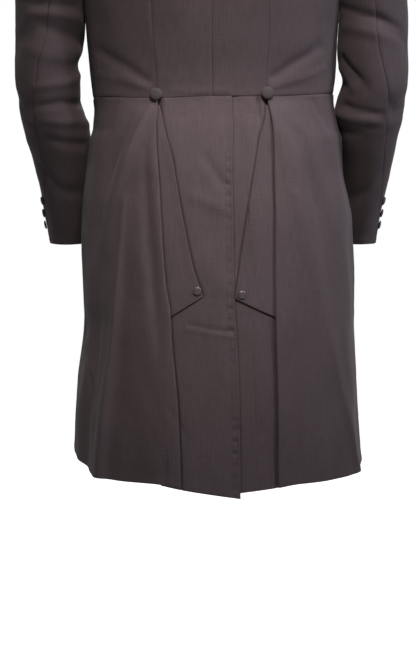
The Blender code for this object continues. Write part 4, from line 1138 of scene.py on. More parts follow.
@dataclass
class Panel:
    """A cloth panel on a grid of mid-surface points, rows up the cloth and columns across it."""

    name: str
    grid: np.ndarray
    facing: np.ndarray
    edges: tuple[Edge, Edge, Edge, Edge]
    cut: Cut
    replaced: tuple[str, ...]
    held: Hold = Hold.STRETCHED
    rests_on: tuple[str, ...] = ()
    seed: int = 1
    wall: float = WALL
    groove: float = 0.0005
    groove_width: float = 0.0019
    pressed_ridge: float = 0.00022
    edge_ridge: float = 0.00028
    pucker: float = 0.00022
    rim: float = 0.0010
    relief: np.ndarray | None = None
    made: bpy.types.Object | None = field(default=None, init=False)

    def __post_init__(self) -> None:
        """Works out the edge distances, the outward normals and the laid surface."""
        across = run_lengths(self.grid, 1)
        up = run_lengths(self.grid, 0)
        self.across, self.up = across, up
        self.distance = (up, up[-1:] - up, across, across[:, -1:] - across)
        normals = grid_normals(self.grid)
        middle = tuple(size // 2 for size in self.grid.shape[:2])
        facing = np.broadcast_to(self.facing, self.grid.shape)
        sign = np.sign((normals * facing)[1:-1, 1:-1].sum(axis=-1).mean())
        if self.facing.ndim == 1:
            sign = np.sign(normals[middle] @ self.facing)
        self.outward = normals * sign
        self.laid = self.grid + self.outward * self.height()[..., None]
        self.outward = grid_normals(self.laid) * sign

    def height(self) -> np.ndarray:
        """Seam grooves, pressed ridges beside them, sewn puckers and slow ripples.

        Returns:
            Height over the plain mid-surface.
        """
        total = unevenness(self.grid, self.seed, 0.00045, 0.045, 0.110)
        total = total + unevenness(self.grid, self.seed + 50, 0.00010, 0.012, 0.026)
        for number, edge in enumerate(self.edges):
            away = self.distance[number]
            along = self.across if number < 2 else self.up
            if edge is Edge.SEAM:
                total = total * ease(away / 0.004) - self.groove * bell(away, self.groove_width)
                total = total + self.pressed_ridge * bell(away - 0.0052, 0.0030)
            if edge is Edge.FREE:
                ripple = unevenness(points(along * 3.2, away * 0.6, 0.0), self.seed + 9, 1.0, 0.035, 0.060)
                total = total + self.pucker * ripple * bell(away - 0.004, 0.006)
                total = total + self.edge_ridge * (1 - ease((away - 0.0075) / 0.0030))
        if self.relief is not None:
            total = total + self.relief
        return total

    def half_wall(self) -> np.ndarray:
        """Half the wall's thickness, rounded off at the rim by a quarter circle.

        Returns:
            Half thickness at each point.
        """
        nearest = np.minimum.reduce(self.distance)
        rim = np.sqrt(np.clip(1 - (1 - np.clip(nearest / self.rim, 0, 1)) ** 2, 0, 1))
        return self.wall / 2 * np.maximum(rim, 0.22)

    def build(self, finish: "Finish") -> bpy.types.Object:
        """Args:
            finish: Finish of the cloth.

        Returns:
            The piece.
        """
        rows, columns = self.grid.shape[:2]
        half = self.outward * self.half_wall()[..., None]
        count = rows * columns
        front = np.arange(count).reshape(rows, columns)
        back = front + count
        faces = [np.stack([front[:-1, :-1], front[:-1, 1:], front[1:, 1:], front[1:, :-1]], axis=-1)]
        faces.append(np.stack([back[:-1, :-1], back[1:, :-1], back[1:, 1:], back[:-1, 1:]], axis=-1))
        loop = np.concatenate([front[0, :-1], front[:-1, -1], front[-1, :0:-1], front[:0:-1, 0]])
        after = np.roll(loop, -1)
        faces.append(np.stack([after, loop, loop + count, after + count], axis=-1))
        quads = np.concatenate([part.reshape(-1, 4) for part in faces])
        corners = np.concatenate([(self.laid + half).reshape(-1, 3), (self.laid - half).reshape(-1, 3)])
        a, b, c, d = (corners[quads[:, k]] for k in range(4))
        if (np.cross(a, b) * c).sum() + (np.cross(a, c) * d).sum() < 0:
            quads = quads[:, ::-1]
        along = np.stack([self.across, self.up], axis=-1).reshape(-1, 2)
        piece = mesh_piece(self.name, corners, quads.tolist(), finish, np.concatenate([along, along]))
        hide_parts(*self.replaced)
        self.made = piece
        LOG.info("%s: %d faces, run %.3f x %.3f", self.name, len(quads), self.across[:, -1].max(),
                 self.up[-1].max())
        return piece

    def line(self, edge: int, inset: float) -> tuple[np.ndarray, np.ndarray]:
        """Line on the face at a distance from one edge.

        Args:
            edge: 0 low, 1 high, 2 first column, 3 last column.
            inset: Distance from the edge.

        Returns:
            Points on the face and their normals.
        """
        face = self.laid + self.outward * self.wall / 2
        values = np.concatenate([face, self.outward], axis=-1)
        away = self.distance[edge]
        if edge < 2:
            values, away = values.swapaxes(0, 1), away.T
        if edge % 2:
            values, away = values[:, ::-1], away[:, ::-1]
        after = np.clip((away < inset).sum(axis=1), 1, away.shape[1] - 1)
        row = np.arange(len(away))
        low, high = away[row, after - 1], away[row, after]
        share = ((inset - low) / np.maximum(high - low, 1e-9))[:, None]
        found = mixed(values[row, after - 1], values[row, after], share)
        return found[:, :3], unit(found[:, 3:])


def built(panels: Sequence[Panel], cloth: "Finish") -> list[Panel]:
    """Builds panels one after the other.

    Args:
        panels: The panels.
        cloth: Finish of the cloth.

    Returns:
        The same panels.
    """
    for panel in panels:
        panel.build(cloth)
    return list(panels)


def mesh_piece(name: str, corners: np.ndarray, faces: Sequence[Sequence[int]], finish: "Finish",
               flat: np.ndarray | None = None) -> bpy.types.Object:
    """A mesh object that rides on the coat.

    Args:
        name: Name of the piece.
        corners: Its points.
        faces: Its faces, each a row of point numbers.
        finish: Its finish.
        flat: Place of each point on the flat cloth, in metres.

    Returns:
        The piece.
    """
    mesh = bpy.data.meshes.new(name)
    mesh.from_pydata(corners.tolist(), [], faces)
    mesh.update()
    mesh.shade_smooth()
    if flat is not None:
        numbers = np.zeros(len(mesh.loops), dtype=np.int32)
        mesh.loops.foreach_get("vertex_index", numbers)
        layer = mesh.uv_layers.new(name="cut")
        layer.uv.foreach_set("vector", flat[numbers].astype(np.float32).ravel())
    piece = bpy.data.objects.new(name, mesh)
    bpy.context.scene.collection.objects.link(piece)
    mesh.materials.append(finish.material())
    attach(piece, "root")
    return piece


@dataclass
class Bodice:
    """Backs, side bodies and foreparts, from the waist seam to the shoulders."""

    rows: int = 150
    side_rows: int = 100
    back_columns: int = 62
    side_columns: int = 40
    front_columns: int = 84
    back_cut: Cut = Cut(0.235, 0.475, 0.0668)
    side_cut: Cut = Cut(0.200, 0.350, 0.0452)
    front_cut: Cut = Cut(0.290, 0.560, 0.1000)
    panels: list[Panel] = field(default_factory=list)

    @staticmethod
    def creases(degrees: np.ndarray, place: np.ndarray) -> np.ndarray:
        """Height of the finer creases at angles and points.

        Args:
            degrees: Angle of each point.
            place: The points.

        Returns:
            The height.
        """
        return fold_height(BODICE_CREASES, degrees, place[..., 2], BODICE_DEGREE)

    def levels(self, seam_top: float) -> np.ndarray:
        """Levels of a panel's rows, with one at the top of its long seam."""
        return np.union1d(2.0 * shares(self.rows, 0.47), [seam_top])[:, None]

    def back(self, side: int, word: str) -> Panel:
        """One back: share of the way from the centre to its outer edge, at each level."""
        level = self.levels(BACK_SEAM_TOP_LEVEL)
        neck = BACK_NECK_DEGREES / 90
        share = np.union1d(shares(self.back_columns, 0.15), [neck])[None, :]
        degrees = side * back_outer(side, level) * share + side * 1e-6
        grid = bodice(degrees, level)
        return Panel("back_%s_cloth" % word, drawn_in(grid), np.array([0.0, 1.0, 0.0]),
                     (Edge.SEAM, Edge.SEAM, Edge.SEAM, Edge.SEAM), self.back_cut, ("back_" + word,),
                     rests_on=("forepart_%s_cloth" % word,), seed=11 + side, groove=0.00035,
                     relief=self.creases(degrees, grid))

    def side_body(self, side: int, word: str) -> Panel:
        """One side body: a patch blended from its four edges in degrees and level."""
        share = shares(self.side_columns, 0.12)[None, :]
        along = shares(self.side_rows, 0.30)[:, None]
        level = BACK_SEAM_TOP_LEVEL * along
        left = points(side_back_seam(side, level), level, 0.0)
        level = SIDE_TOP_LEVEL * along
        right = points(side_seam(level), level, 0.0)
        bottom = points(mixed(left[0, 0, 0], right[0, 0, 0], share), 0.0, 0.0)
        turn = mixed(BACK_SEAM_MEETS, SIDE_SEAM_MEETS, share)
        top = points(*armhole(turn), 0.0)
        s, t = share[..., None], along[..., None]
        corners = mixed(mixed(bottom[0, 0], bottom[0, -1], s), mixed(top[0, 0], top[0, -1], s), t)
        patch = mixed(left, right, s) + mixed(bottom, top, t) - corners
        degrees = side * patch[..., 0]
        grid = bodice(degrees, patch[..., 1])
        return Panel("side_body_%s_cloth" % word, drawn_in(grid), np.array([side * 0.8, 0.5, 0.0]),
                     (Edge.SEAM, Edge.SEAM, Edge.SEAM, Edge.SEAM), self.side_cut,
                     ("side_body_" + word,), rests_on=("back_%s_cloth" % word,), seed=21 + side,
                     relief=self.creases(degrees, grid))

    def front_columns_at(self) -> np.ndarray:
        """Shares of a forepart's columns, with one at the neck."""
        neck = (FRONT_NECK_DEGREES - 90) / (front_edge(2.0) - 90)
        return np.union1d(shares(self.front_columns, 0.24), [neck])

    def front_grid(self, side: int) -> tuple[np.ndarray, np.ndarray]:
        """Degrees and points of a forepart, from its side seam to the front edge."""
        level = self.levels(SIDE_TOP_LEVEL)
        degrees = side * mixed(front_outer(level), front_edge(level), self.front_columns_at()[None, :])
        return degrees, bodice(degrees, level, front_shift(side, degrees))

    def forepart(self, side: int, word: str) -> Panel:
        """One forepart, with its free front edge and its roll line."""
        degrees, grid = self.front_grid(side)
        return Panel("forepart_%s_cloth" % word, drawn_in(grid), np.array([side * 0.2, -1.0, 0.0]),
                     (Edge.SEAM, Edge.SEAM, Edge.SEAM, Edge.FREE), self.front_cut,
                     ("forepart_" + word,), rests_on=("skirt_side_%s_cloth" % word,), seed=31 + side,
                     relief=self.creases(degrees, grid))

    def build(self, cloth: "Finish") -> None:
        """Builds both sides.

        Args:
            cloth: Finish of the cloth.
        """
        for side, word in SIDES:
            self.panels += built((self.forepart(side, word), self.back(side, word),
                                  self.side_body(side, word)), cloth)


def drawn_in(grid: np.ndarray, gap: float = 0.00002) -> np.ndarray:
    """Grid whose edges are drawn in by a hair, so that panels meet without touching.

    Args:
        grid: Rows by columns of points.
        gap: Distance.

    Returns:
        The grid.
    """
    grid = np.array(grid)
    grid[0] += unit(grid[2] - grid[0]) * gap
    grid[-1] += unit(grid[-3] - grid[-1]) * gap
    grid[:, 0] += unit(grid[:, 2] - grid[:, 0]) * gap
    grid[:, -1] += unit(grid[:, -3] - grid[:, -1]) * gap
    return grid


def refined(grid: np.ndarray, rows: np.ndarray, columns: np.ndarray) -> np.ndarray:
    """Smooth cubic reading of a coarse grid, first along its rows and then its columns.

    Args:
        grid: Rows by columns of points.
        rows: Fractional rows wanted.
        columns: Fractional columns wanted.

    Returns:
        The finer grid.
    """
    for at in (rows, columns):
        slope = np.gradient(grid, axis=0)
        i = np.clip(np.floor(at).astype(int), 0, len(grid) - 2)
        t = (at - i)[:, None, None]
        low, high = grid[i], grid[i + 1]
        grid = ((1 + 2 * t) * (1 - t) ** 2 * low + t * (1 - t) ** 2 * slope[i]
                + t * t * (3 - 2 * t) * high + t * t * (t - 1) * slope[i + 1])
        grid = grid.swapaxes(0, 1)
    return grid


@dataclass
class Neckline:
    """The collar and the two lapels."""

    bodice: Bodice
    collar_rows: int = 132
    collar_columns: int = 54
    lapel_rows: int = 64
    lapel_columns: int = 30
    collar_cut: Cut = Cut(0.455, 0.100, 0.0310)
    lapel_cut: Cut = Cut(0.100, 0.230, 0.0131)
    outline: Rows = ((0.00, 0.112, -0.082), (0.12, 0.109, -0.102), (0.40, 0.084, -0.150),
                     (0.70, 0.049, -0.196), (1.00, 0.015, -0.232))
    panels: list[Panel] = field(default_factory=list)

    @staticmethod
    def laid_on(grid: np.ndarray, normals: np.ndarray, x: np.ndarray,
                z: np.ndarray) -> tuple[np.ndarray, np.ndarray]:
        """Points of a front at given x and z: a weighted mean of the tangent planes of the nearest points.

        Args:
            grid: The front's points.
            normals: Their outward normals.
            x: Wanted x.
            z: Wanted z.

        Returns:
            The points and their normals.
        """
        ahead = (normals[..., 1] < -0.15).ravel()
        place, facing = grid.reshape(-1, 3)[ahead], normals.reshape(-1, 3)[ahead]
        wanted = np.stack([x.ravel(), z.ravel()], axis=-1)
        apart = ((wanted[:, None, :] - place[None, :, ::2]) ** 2).sum(axis=-1)
        near = np.argpartition(apart, 8, axis=1)[:, :8]
        weight = 1 / (np.take_along_axis(apart, near, axis=1) + 1e-6)
        weight = weight / weight.sum(axis=1, keepdims=True)
        slope = facing[near]
        step = wanted[:, None, :] - place[near][..., ::2]
        y = place[near][..., 1] - (step * slope[..., ::2]).sum(axis=-1) / slope[..., 1]
        found = points(wanted[:, 0], (y * weight).sum(axis=1), wanted[:, 1])
        normal = unit((slope * weight[..., None]).sum(axis=1))
        return found.reshape(x.shape + (3,)), normal.reshape(x.shape + (3,))

    def lapel(self, side: int, word: str) -> Panel:
        """One lapel: a half-round turn at the roll line, then a leaf carried over the forepart.

        The leaf's points run straight from the roll line to its free edge as seen from the front,
        and stand a little above the forepart's face, less so towards the free edge.
        """
        _, grid = self.bodice.front_grid(side)
        normals = grid_normals(grid) * side
        share = shares(self.lapel_rows, 0.19)[:, None]
        degrees = mixed(GORGE_DEGREES + 0.6, LAPEL_END_DEGREES, share)
        columns_at = self.bodice.front_columns_at()
        part = (degrees - front_outer(2.0)) / (front_edge(2.0) - front_outer(2.0))
        columns = np.interp(part, columns_at, np.arange(len(columns_at)))
        rows = np.full(columns.shape, grid.shape[0] - 1.0)
        base = on_grid(grid, rows, columns)
        normal = steadied(unit(on_grid(normals, rows - 2.0, columns)))
        along = np.gradient(base, axis=0)
        onward = unit(np.cross(normal, along))
        rising = base - on_grid(grid, rows - 6.0, columns)
        onward = steadied(onward * np.sign((onward * rising).sum(axis=-1, keepdims=True)))
        above = LAPEL_LIFT + GORGE_LIFT * (1 - ease(share / 0.5))
        radius = above[..., None] / 2
        turn = np.radians(np.linspace(0, 180, 11))[None, :, None]
        start = base + onward * 3 * SEAM_GAP
        bend = start + onward * radius * np.sin(turn) + normal * radius * (1 - np.cos(turn))
        across = shares(self.lapel_columns, 0.06, low=False)[None, 1:]
        first = bend[:, -1:, :]
        x = mixed(first[..., 0], side * through(self.outline, 1, share), across)
        z = mixed(first[..., 2], through(self.outline, 2, share), across)
        leaf, facing = self.laid_on(grid, normals, x, z)
        lift = above * (1 - 0.42 * ease(across)) + 0.0012 * np.sin(np.pi * across)
        meeting = first - leaf[:, :1, :] - facing[:, :1, :] * lift[:, :1, None]
        leaf = leaf + facing * lift[..., None] + meeting * (1 - ease(across / 0.5))[..., None]
        return Panel("lapel_%s_cloth" % word, np.concatenate([bend, leaf], axis=1),
                     np.array([side * 0.1, -1.0, 0.2]),
                     (Edge.FREE, Edge.FREE, Edge.HIDDEN, Edge.FREE), self.lapel_cut, ("lapel_" + word,),
                     held=Hold.FOLDED, rests_on=("forepart_%s_cloth" % word,), seed=41 + side)

    def collar(self) -> Panel:
        """The collar: a stand, a half-round turn and a fall laid over the shoulders."""
        half = np.concatenate([np.linspace(0, COLLAR_SIDE_NECK, 9), np.linspace(COLLAR_SIDE_NECK, 1, 7)[1:]])
        share = np.concatenate([-half[:0:-1], half])[:, None]
        away = np.abs(share)
        back = BACK_NECK_DEGREES * away / COLLAR_SIDE_NECK
        reached = (away - COLLAR_SIDE_NECK) / (1 - COLLAR_SIDE_NECK)
        front = mixed(FRONT_NECK_DEGREES, GORGE_DEGREES - 0.6, reached)
        side = np.where(share >= 0, 1.0, -1.0)
        seam = top_edge(side * np.where(away <= COLLAR_SIDE_NECK, back, front))
        outward = unit(points(seam[..., 0] * 1.15, seam[..., 1] * np.where(seam[..., 1] > 0, 1.0, 0.35), 0.0))
        upward = points(0.0, 0.0, 1.0)
        stand = through(COLLAR, 1, away)[..., None]
        reach = through(COLLAR, 2, away)[..., None]
        lean = through(COLLAR, 3, away)[..., None]
        up = np.linspace(0, 1, 4)[None, :, None]
        rise = seam + upward * (COLLAR_SEAM_RISE + stand * up) - outward * lean * up
        top = seam + upward * (COLLAR_SEAM_RISE + stand) - outward * (lean - COLLAR_TURN)
        turn = np.radians(np.linspace(180, 0, 7))[None, 1:, None]
        bend = top + outward * COLLAR_TURN * np.cos(turn) + upward * COLLAR_TURN * np.sin(turn)
        end = seam + outward * reach
        end[..., 2] = body_height(end[..., 0], end[..., 1]) + COLLAR_CLEAR
        start = bend[:, -1:, :]
        knee = start + (end - start) * np.array([0.45, 0.45, 0.0])
        knee = knee - upward * np.maximum(stand * 0.55, 0.001)
        t = np.linspace(0, 1, 8)[None, 1:, None]
        fall = (1 - t) ** 2 * start + 2 * t * (1 - t) * knee + t * t * end
        floor = body_height(fall[..., 0], fall[..., 1]) + COLLAR_CLEAR
        fall[..., 2] = np.maximum(fall[..., 2], floor)
        grid = np.concatenate([rise, bend, fall], axis=1)
        rows = shares(self.collar_rows, 0.42) * (grid.shape[0] - 1)
        columns = shares(self.collar_columns, 0.09) * (grid.shape[1] - 1)
        facing = np.array([0.0, 1.0, 0.2])
        panel = Panel("collar_cloth", refined(grid, rows, columns), np.array([0.0, -1.0, 0.0]),
                      (Edge.FREE, Edge.FREE, Edge.SEAM, Edge.FREE), self.collar_cut, ("collar",),
                      held=Hold.FOLDED, rests_on=("back_left_cloth", "back_right_cloth"), seed=47)
        middle = panel.outward[len(rows) // 2, -6]
        if middle @ facing < 0:
            panel.outward = -panel.outward
        return panel

    def build(self, cloth: "Finish") -> None:
        """Builds collar and lapels.

        Args:
            cloth: Finish of the cloth.
        """
        self.panels += built([self.lapel(side, word) for side, word in SIDES] + [self.collar()], cloth)


def steadied(ways: np.ndarray) -> np.ndarray:
    """Unit directions down a line, each a running mean over its neighbours.

    Args:
        ways: Rows by one by three.

    Returns:
        The smoother directions.
    """
    padded = np.concatenate([np.repeat(ways[:1], 6, axis=0), ways, np.repeat(ways[-1:], 6, axis=0)])
    return unit(sum(padded[k:k + len(ways)] for k in range(13)))


@dataclass
class Sleeves:
    """Top and under sleeves, from the armhole to the cuff."""

    head_rows: int = 64
    arm_rows: int = 136
    top_columns: int = 70
    under_columns: int = 42
    seam_depth: float = 0.0030
    seam_drop: float = 0.0026
    seam_turn: float = 0.0022
    seam_reach: float = 0.0040
    top_cut: Cut = Cut(0.260, 0.730, 0.1345)
    under_cut: Cut = Cut(0.190, 0.640, 0.0835)
    panels: list[Panel] = field(default_factory=list)

    def half(self, side: int, word: str, part: str) -> Panel:
        """One half of a sleeve between its two seams.

        Args:
            side: 1 left, -1 right.
            word: Name of the side.
            part: top or under.

        Returns:
            The panel.
        """
        top = part == "top"
        head_share = shares(self.head_rows, 0.20, high=False)
        arm_z = mixed(SLEEVE[0][0], SLEEVE[-1][0], shares(self.arm_rows, 0.40, low=False))
        head_z = mixed(HEAD_Z, SLEEVE[0][0], head_share)
        share = shares(self.top_columns if top else self.under_columns, 0.20 if top else 0.11)[None, :]

        def seams(z: np.ndarray) -> tuple[np.ndarray, np.ndarray]:
            """Angles of the two seams at a height."""
            fore = np.full(np.shape(z), FOREARM_SEAM)
            return (hindarm(z), fore) if top else (fore, 360 + hindarm(z))

        first, last = (line[:, None] for line in seams(head_z))
        head_turn = mixed(first, last, share)
        head = sleeve_head(side, head_turn, head_share[:, None])
        away = unit(head[:1] - armhole_centre(side))
        high = (((1 + np.sin(np.radians(head_turn[:1]))) / 2) ** 3)[..., None]
        neckward = points(-side, 0.0, 0.0)
        inner = head[:1] + neckward * self.seam_depth - away * self.seam_drop * high
        turned = inner + away * self.seam_turn * (1 - high) + neckward * self.seam_reach * high
        head = np.concatenate([turned, inner, head], axis=0)
        head_turn = np.concatenate([head_turn[:1], head_turn[:1], head_turn], axis=0)
        first, last = (line[:, None] for line in seams(arm_z))
        arm_turn = mixed(first, last, share)[1:]
        arm = sleeve_ring(side, arm_turn, np.broadcast_to(arm_z[1:, None], arm_turn.shape))
        grid = np.concatenate([head, arm], axis=0)
        turn = np.concatenate([head_turn, arm_turn], axis=0)
        z = np.concatenate([head[..., 2], np.broadcast_to(arm_z[1:, None], arm_turn.shape)], axis=0)
        creases = LEFT_SLEEVE_CREASES if side > 0 else RIGHT_SLEEVE_CREASES
        relief = sum(fold_height(creases, turn - round_by, z, SLEEVE_DEGREE) for round_by in (0, 360))
        outward = grid - points(side * ARM_X, grid.mean(axis=1)[:, None, 1], grid[..., 2])
        return Panel("%s_sleeve_%s_cloth" % (part, word), drawn_in(grid), outward,
                     (Edge.SEAM, Edge.FREE, Edge.SEAM, Edge.SEAM), self.top_cut if top else self.under_cut,
                     ("%s_sleeve_%s" % (part, word),),
                     rests_on=("back_%s_cloth" % word, "forepart_%s_cloth" % word),
                     seed=(51 if top else 61) + side, groove=0.0003, relief=relief)

    def build(self, cloth: "Finish") -> None:
        """Builds both sleeves.

        Args:
            cloth: Finish of the cloth.
        """
        for side, word in SIDES:
            self.panels += built([self.half(side, word, part) for part in ("top", "under")], cloth)


@dataclass
class Skirt:
    """Skirt backs with the vent, side skirts with their turned pleats, and the pointed flaps."""

    down: int = 172
    open_columns: int = 104
    flap_rows: int = 110
    flap_columns: int = 36
    middle_degrees: float = 35.0
    back_cut: Cut = Cut(0.160, 0.610, 0.0845)
    side_cut: Cut = Cut(0.670, 0.590, 0.3200)
    flap_cut: Cut = Cut(0.075, 0.325, 0.0131)
    panels: list[Panel] = field(default_factory=list)

    @staticmethod
    def relief(degrees: np.ndarray, z: np.ndarray) -> np.ndarray:
        """Finer creases, ripples shared by the layers and the slight fullness under the waist seam.

        Args:
            degrees: Angle of each point.
            z: Height of each point.

        Returns:
            Height along the normal.
        """
        drop = two_sided(WAIST_SEAM, degrees) - z
        full = 0.0005 * np.sin(degrees * 0.42) * bell(drop - 0.010, 0.018)
        slow = unevenness(points(degrees * SKIRT_DEGREE, z * 0.35, 0.0), 5, 0.0010, 0.035, 0.080)
        slow = slow * ease(drop / 0.05) * np.where(np.abs(degrees) > 20, 1.0, 0.5)
        return (fold_height(SKIRT_CREASES, degrees, z, SKIRT_DEGREE) + slow) * ease(drop / 0.006) + full

    def under_distances(self) -> np.ndarray:
        """How far past the side fold the hidden columns lie."""
        return TURN_RADIUS + np.linspace(1.0, 0.10, 11) * (PLEAT_UNDERLAP - TURN_RADIUS)

    def back(self, side: int, word: str) -> Panel:
        """One skirt back, from the vent edge to its hidden edge under the side pleat."""
        down = shares(self.down, 0.585)[:, None]
        z = skirt_z(side * self.middle_degrees, down)
        fold = side_fold(side, z)
        hidden = stepped(fold, z, np.concatenate([[TURN_RADIUS], self.under_distances()[::-1]])[None, :])
        vent = through(VENT_EDGE, 1, z) if side > 0 else -VENT_UNDERLAP_DEGREES + 0 * z
        open_part = shares(self.open_columns, 0.13, high=False)[None, :]
        degrees = np.concatenate([mixed(vent, fold, open_part), hidden], axis=1)
        z = skirt_z(side * degrees, down)
        if side > 0:
            z = z + (through(VENT_HEM, 1, degrees) - skirt_z(degrees, 1.0)) * down
        else:
            z = z + UNDER_HEM_RISE * ease((9.0 - degrees) / 10.0) * down ** 4
        out = back_out(side, degrees, z, fold) + side_overlap(side, degrees)
        out = out + self.relief(side * degrees, z) + self.pressed(side, degrees, z)
        if side > 0:
            out = out + self.vent_puckers(degrees, z)
        else:
            away = (side * degrees - through(VENT_EDGE, 1, z)) * SKIRT_DEGREE
            out = out - 0.0012 * bell(away + 0.0006, 0.0016)
        grid = skirt(side * degrees, z, out)
        return Panel("skirt_back_%s_cloth" % word, drawn_in(grid), np.array([0.0, 1.0, 0.0]),
                     (Edge.SEAM, Edge.FREE, Edge.FREE, Edge.HIDDEN), self.back_cut,
                     ("skirt_back_" + word,), held=Hold.HUNG, rests_on=("back_%s_cloth" % word,),
                     seed=71 + side, pucker=0.0001)

    @staticmethod
    def pressed(side: int, degrees: np.ndarray, z: np.ndarray) -> np.ndarray:
        """The lines that the flap's edge and the pleat's fold press into the cloth under them.

        Args:
            side: 1 left, -1 right.
            degrees: Angle of each point.
            z: Height of each point.

        Returns:
            Height, below nought in a narrow trough by the flap's outline and the fold.
        """
        edge = np.array(FLAP_EDGE_LEFT if side > 0 else FLAP_EDGE_RIGHT)
        x, y = degrees * SKIRT_DEGREE, np.broadcast_to(z, degrees.shape)
        start = np.stack([edge[:-1, 1] * SKIRT_DEGREE, edge[:-1, 2]], axis=-1)
        span = np.stack([edge[1:, 1] * SKIRT_DEGREE, edge[1:, 2]], axis=-1) - start
        share = ((x[..., None] - start[:, 0]) * span[:, 0] + (y[..., None] - start[:, 1]) * span[:, 1])
        share = np.clip(share / (span ** 2).sum(axis=-1), 0, 1)
        away = np.hypot(x[..., None] - start[:, 0] - share * span[:, 0],
                        y[..., None] - start[:, 1] - share * span[:, 1]).min(axis=-1)
        fold = (side_fold(side, z) - degrees) * SKIRT_DEGREE
        trough = bell(away, PRESSED_WIDTH) + bell(fold - 0.0004, 0.0018)
        return -PRESSED_DEPTH * np.clip(trough, 0, 1)

    @staticmethod
    def vent_puckers(degrees: np.ndarray, z: np.ndarray) -> np.ndarray:
        """Small dents where hand stitches catch the vent's turned edge.

        Args:
            degrees: Angle of each point.
            z: Height of each point.

        Returns:
            Height, below nought in a row of short level dents.
        """
        away = (degrees - through(VENT_EDGE, 1, z)) * SKIRT_DEGREE
        wave = np.cos(2 * np.pi * (z / VENT_PITCH + 0.12 * np.sin(z * 47.0)))
        dent = np.clip(wave, 0, 1) ** 5 * bell(away - 0.0065, 0.0048)
        fall = ease((-0.47 - z) / 0.03) * (0.65 + 0.35 * np.sin(z * 31.0 + 1.0))
        lifted = 0.0007 * bell(away, 0.004)
        return lifted - VENT_DENT * dent * fall - 0.0003 * bell(away - 0.0125, 0.003)

    def side_panel(self, side: int, word: str) -> Panel:
        """One side skirt: the hidden return, the half-round turn of the pleat, then round to the front."""
        down = shares(self.down, 0.575)[:, None]
        z = skirt_z(side * self.middle_degrees, down)
        fold = side_fold(side, z)
        drop = below_seam(side, fold, z)
        base = -under_depth(drop)
        return_out = base + return_lift(drop)
        outer_out = return_out + 2 * TURN_RADIUS
        back_distance = self.under_distances()[None, :]
        settled = ease((back_distance - 0.009) / (PLEAT_UNDERLAP - 0.009))
        back_offset = mixed(return_out, base + 1.15 * LAYER, settled)
        bend_turn = np.radians(np.linspace(270.0, 90.0, 9))[None, :]
        bend_distance = TURN_RADIUS * (1 + np.cos(bend_turn)) + 0 * fold
        bend_offset = return_out + TURN_RADIUS + TURN_RADIUS * np.sin(bend_turn)
        back_rows = np.broadcast_to(back_distance, (len(fold), back_distance.shape[1]))
        distance = np.concatenate([back_rows, bend_distance], axis=1)
        offset = np.concatenate([back_offset, bend_offset], axis=1)
        degrees = stepped(fold, z, distance)
        first = stepped(fold, z, TURN_RADIUS)
        steps = np.concatenate([np.linspace(0, 0.30, 58), np.linspace(0.30, 1.0, 76)[1:],
                                [0.9965, 0.9985, 0.9995]])
        steps = np.unique(steps)[None, 1:]
        outer_degrees = mixed(first, FRONT_EDGE_DEGREES, steps)
        outer_distance = (outer_degrees - first) * SKIRT_DEGREE
        outer_offset = outer_out * (1 - ease(outer_distance / FOLD_FADE))
        outer_offset = outer_offset + front_shift(side, outer_degrees)
        degrees = np.concatenate([degrees, outer_degrees], axis=1)
        offset = np.concatenate([offset, outer_offset], axis=1)
        z = skirt_z(side * degrees, down)
        grid = skirt(side * degrees, z, offset + self.relief(side * degrees, z))
        return Panel("skirt_side_%s_cloth" % word, drawn_in(grid), np.array([side * 1.0, 0.0, 0.0]),
                     (Edge.SEAM, Edge.FREE, Edge.HIDDEN, Edge.FREE), self.side_cut,
                     ("skirt_side_" + word,), held=Hold.HUNG, rests_on=("skirt_back_%s_cloth" % word,),
                     seed=81 + side)

    def flap(self, side: int, word: str) -> Panel:
        """One pointed flap, its root tucked behind the pleat's turn."""
        share = shares(self.flap_rows, 0.29)[:, None]
        edge = FLAP_EDGE_LEFT if side > 0 else FLAP_EDGE_RIGHT
        edge_degrees = through(edge, 1, share)
        edge_z = through(edge, 2, share)
        root_z = mixed(edge_z[0], FLAP_ROOT_END, share)
        root_depth = mixed(0.0012, FLAP_ROOT_DEPTH, ease(share / 0.15))
        root_degrees = stepped(side_fold(side, root_z), root_z, root_depth)
        across = shares(self.flap_columns, 0.05, low=False)[None, :]
        degrees = mixed(root_degrees, edge_degrees, across)
        z = mixed(root_z, edge_z, across)
        out = back_out(side, degrees, z, side_fold(side, z)) + LAYER + side_overlap(side, degrees)
        fold = (side_fold(side, z) - degrees) * SKIRT_DEGREE
        out = out - 0.0017 * bell(fold - 0.0004, 0.0020) * ease(share / 0.1)
        grid = skirt(side * degrees, z, out + self.relief(side * degrees, z))
        return Panel("side_edge_%s_cloth" % word, grid, np.array([0.0, 1.0, 0.0]),
                     (Edge.FREE, Edge.FREE, Edge.HIDDEN, Edge.FREE), self.flap_cut,
                     ("side_edge_" + word,), held=Hold.HUNG, rests_on=("skirt_back_%s_cloth" % word,),
                     seed=91 + side, pucker=0.00012)

    def build(self, cloth: "Finish") -> None:
        """Builds both sides.

        Args:
            cloth: Finish of the cloth.
        """
        for side, word in SIDES:
            self.panels += built((self.side_panel(side, word), self.back(side, word),
                                  self.flap(side, word)), cloth)


@dataclass(frozen=True)
class ButtonKind:
    """Radius, dome height and shank of a covered button."""

    radius: float
    height: float
    shank: float = 0.0


def frame_at(surface: Surface, across: float, up: float,
             step_up: float = 0.004) -> tuple[np.ndarray, np.ndarray]:
    """Point and outward normal of a surface.

    Args:
        surface: Function of two parameters.
        across: First parameter.
        up: Second parameter.
        step_up: Half step up.

    Returns:
        The point and the normal.
    """
    sideways = surface(across + 0.4, up) - surface(across - 0.4, up)
    upwards = surface(across, up + step_up) - surface(across, up - step_up)
    return surface(across, up), unit(np.cross(upwards, sideways))


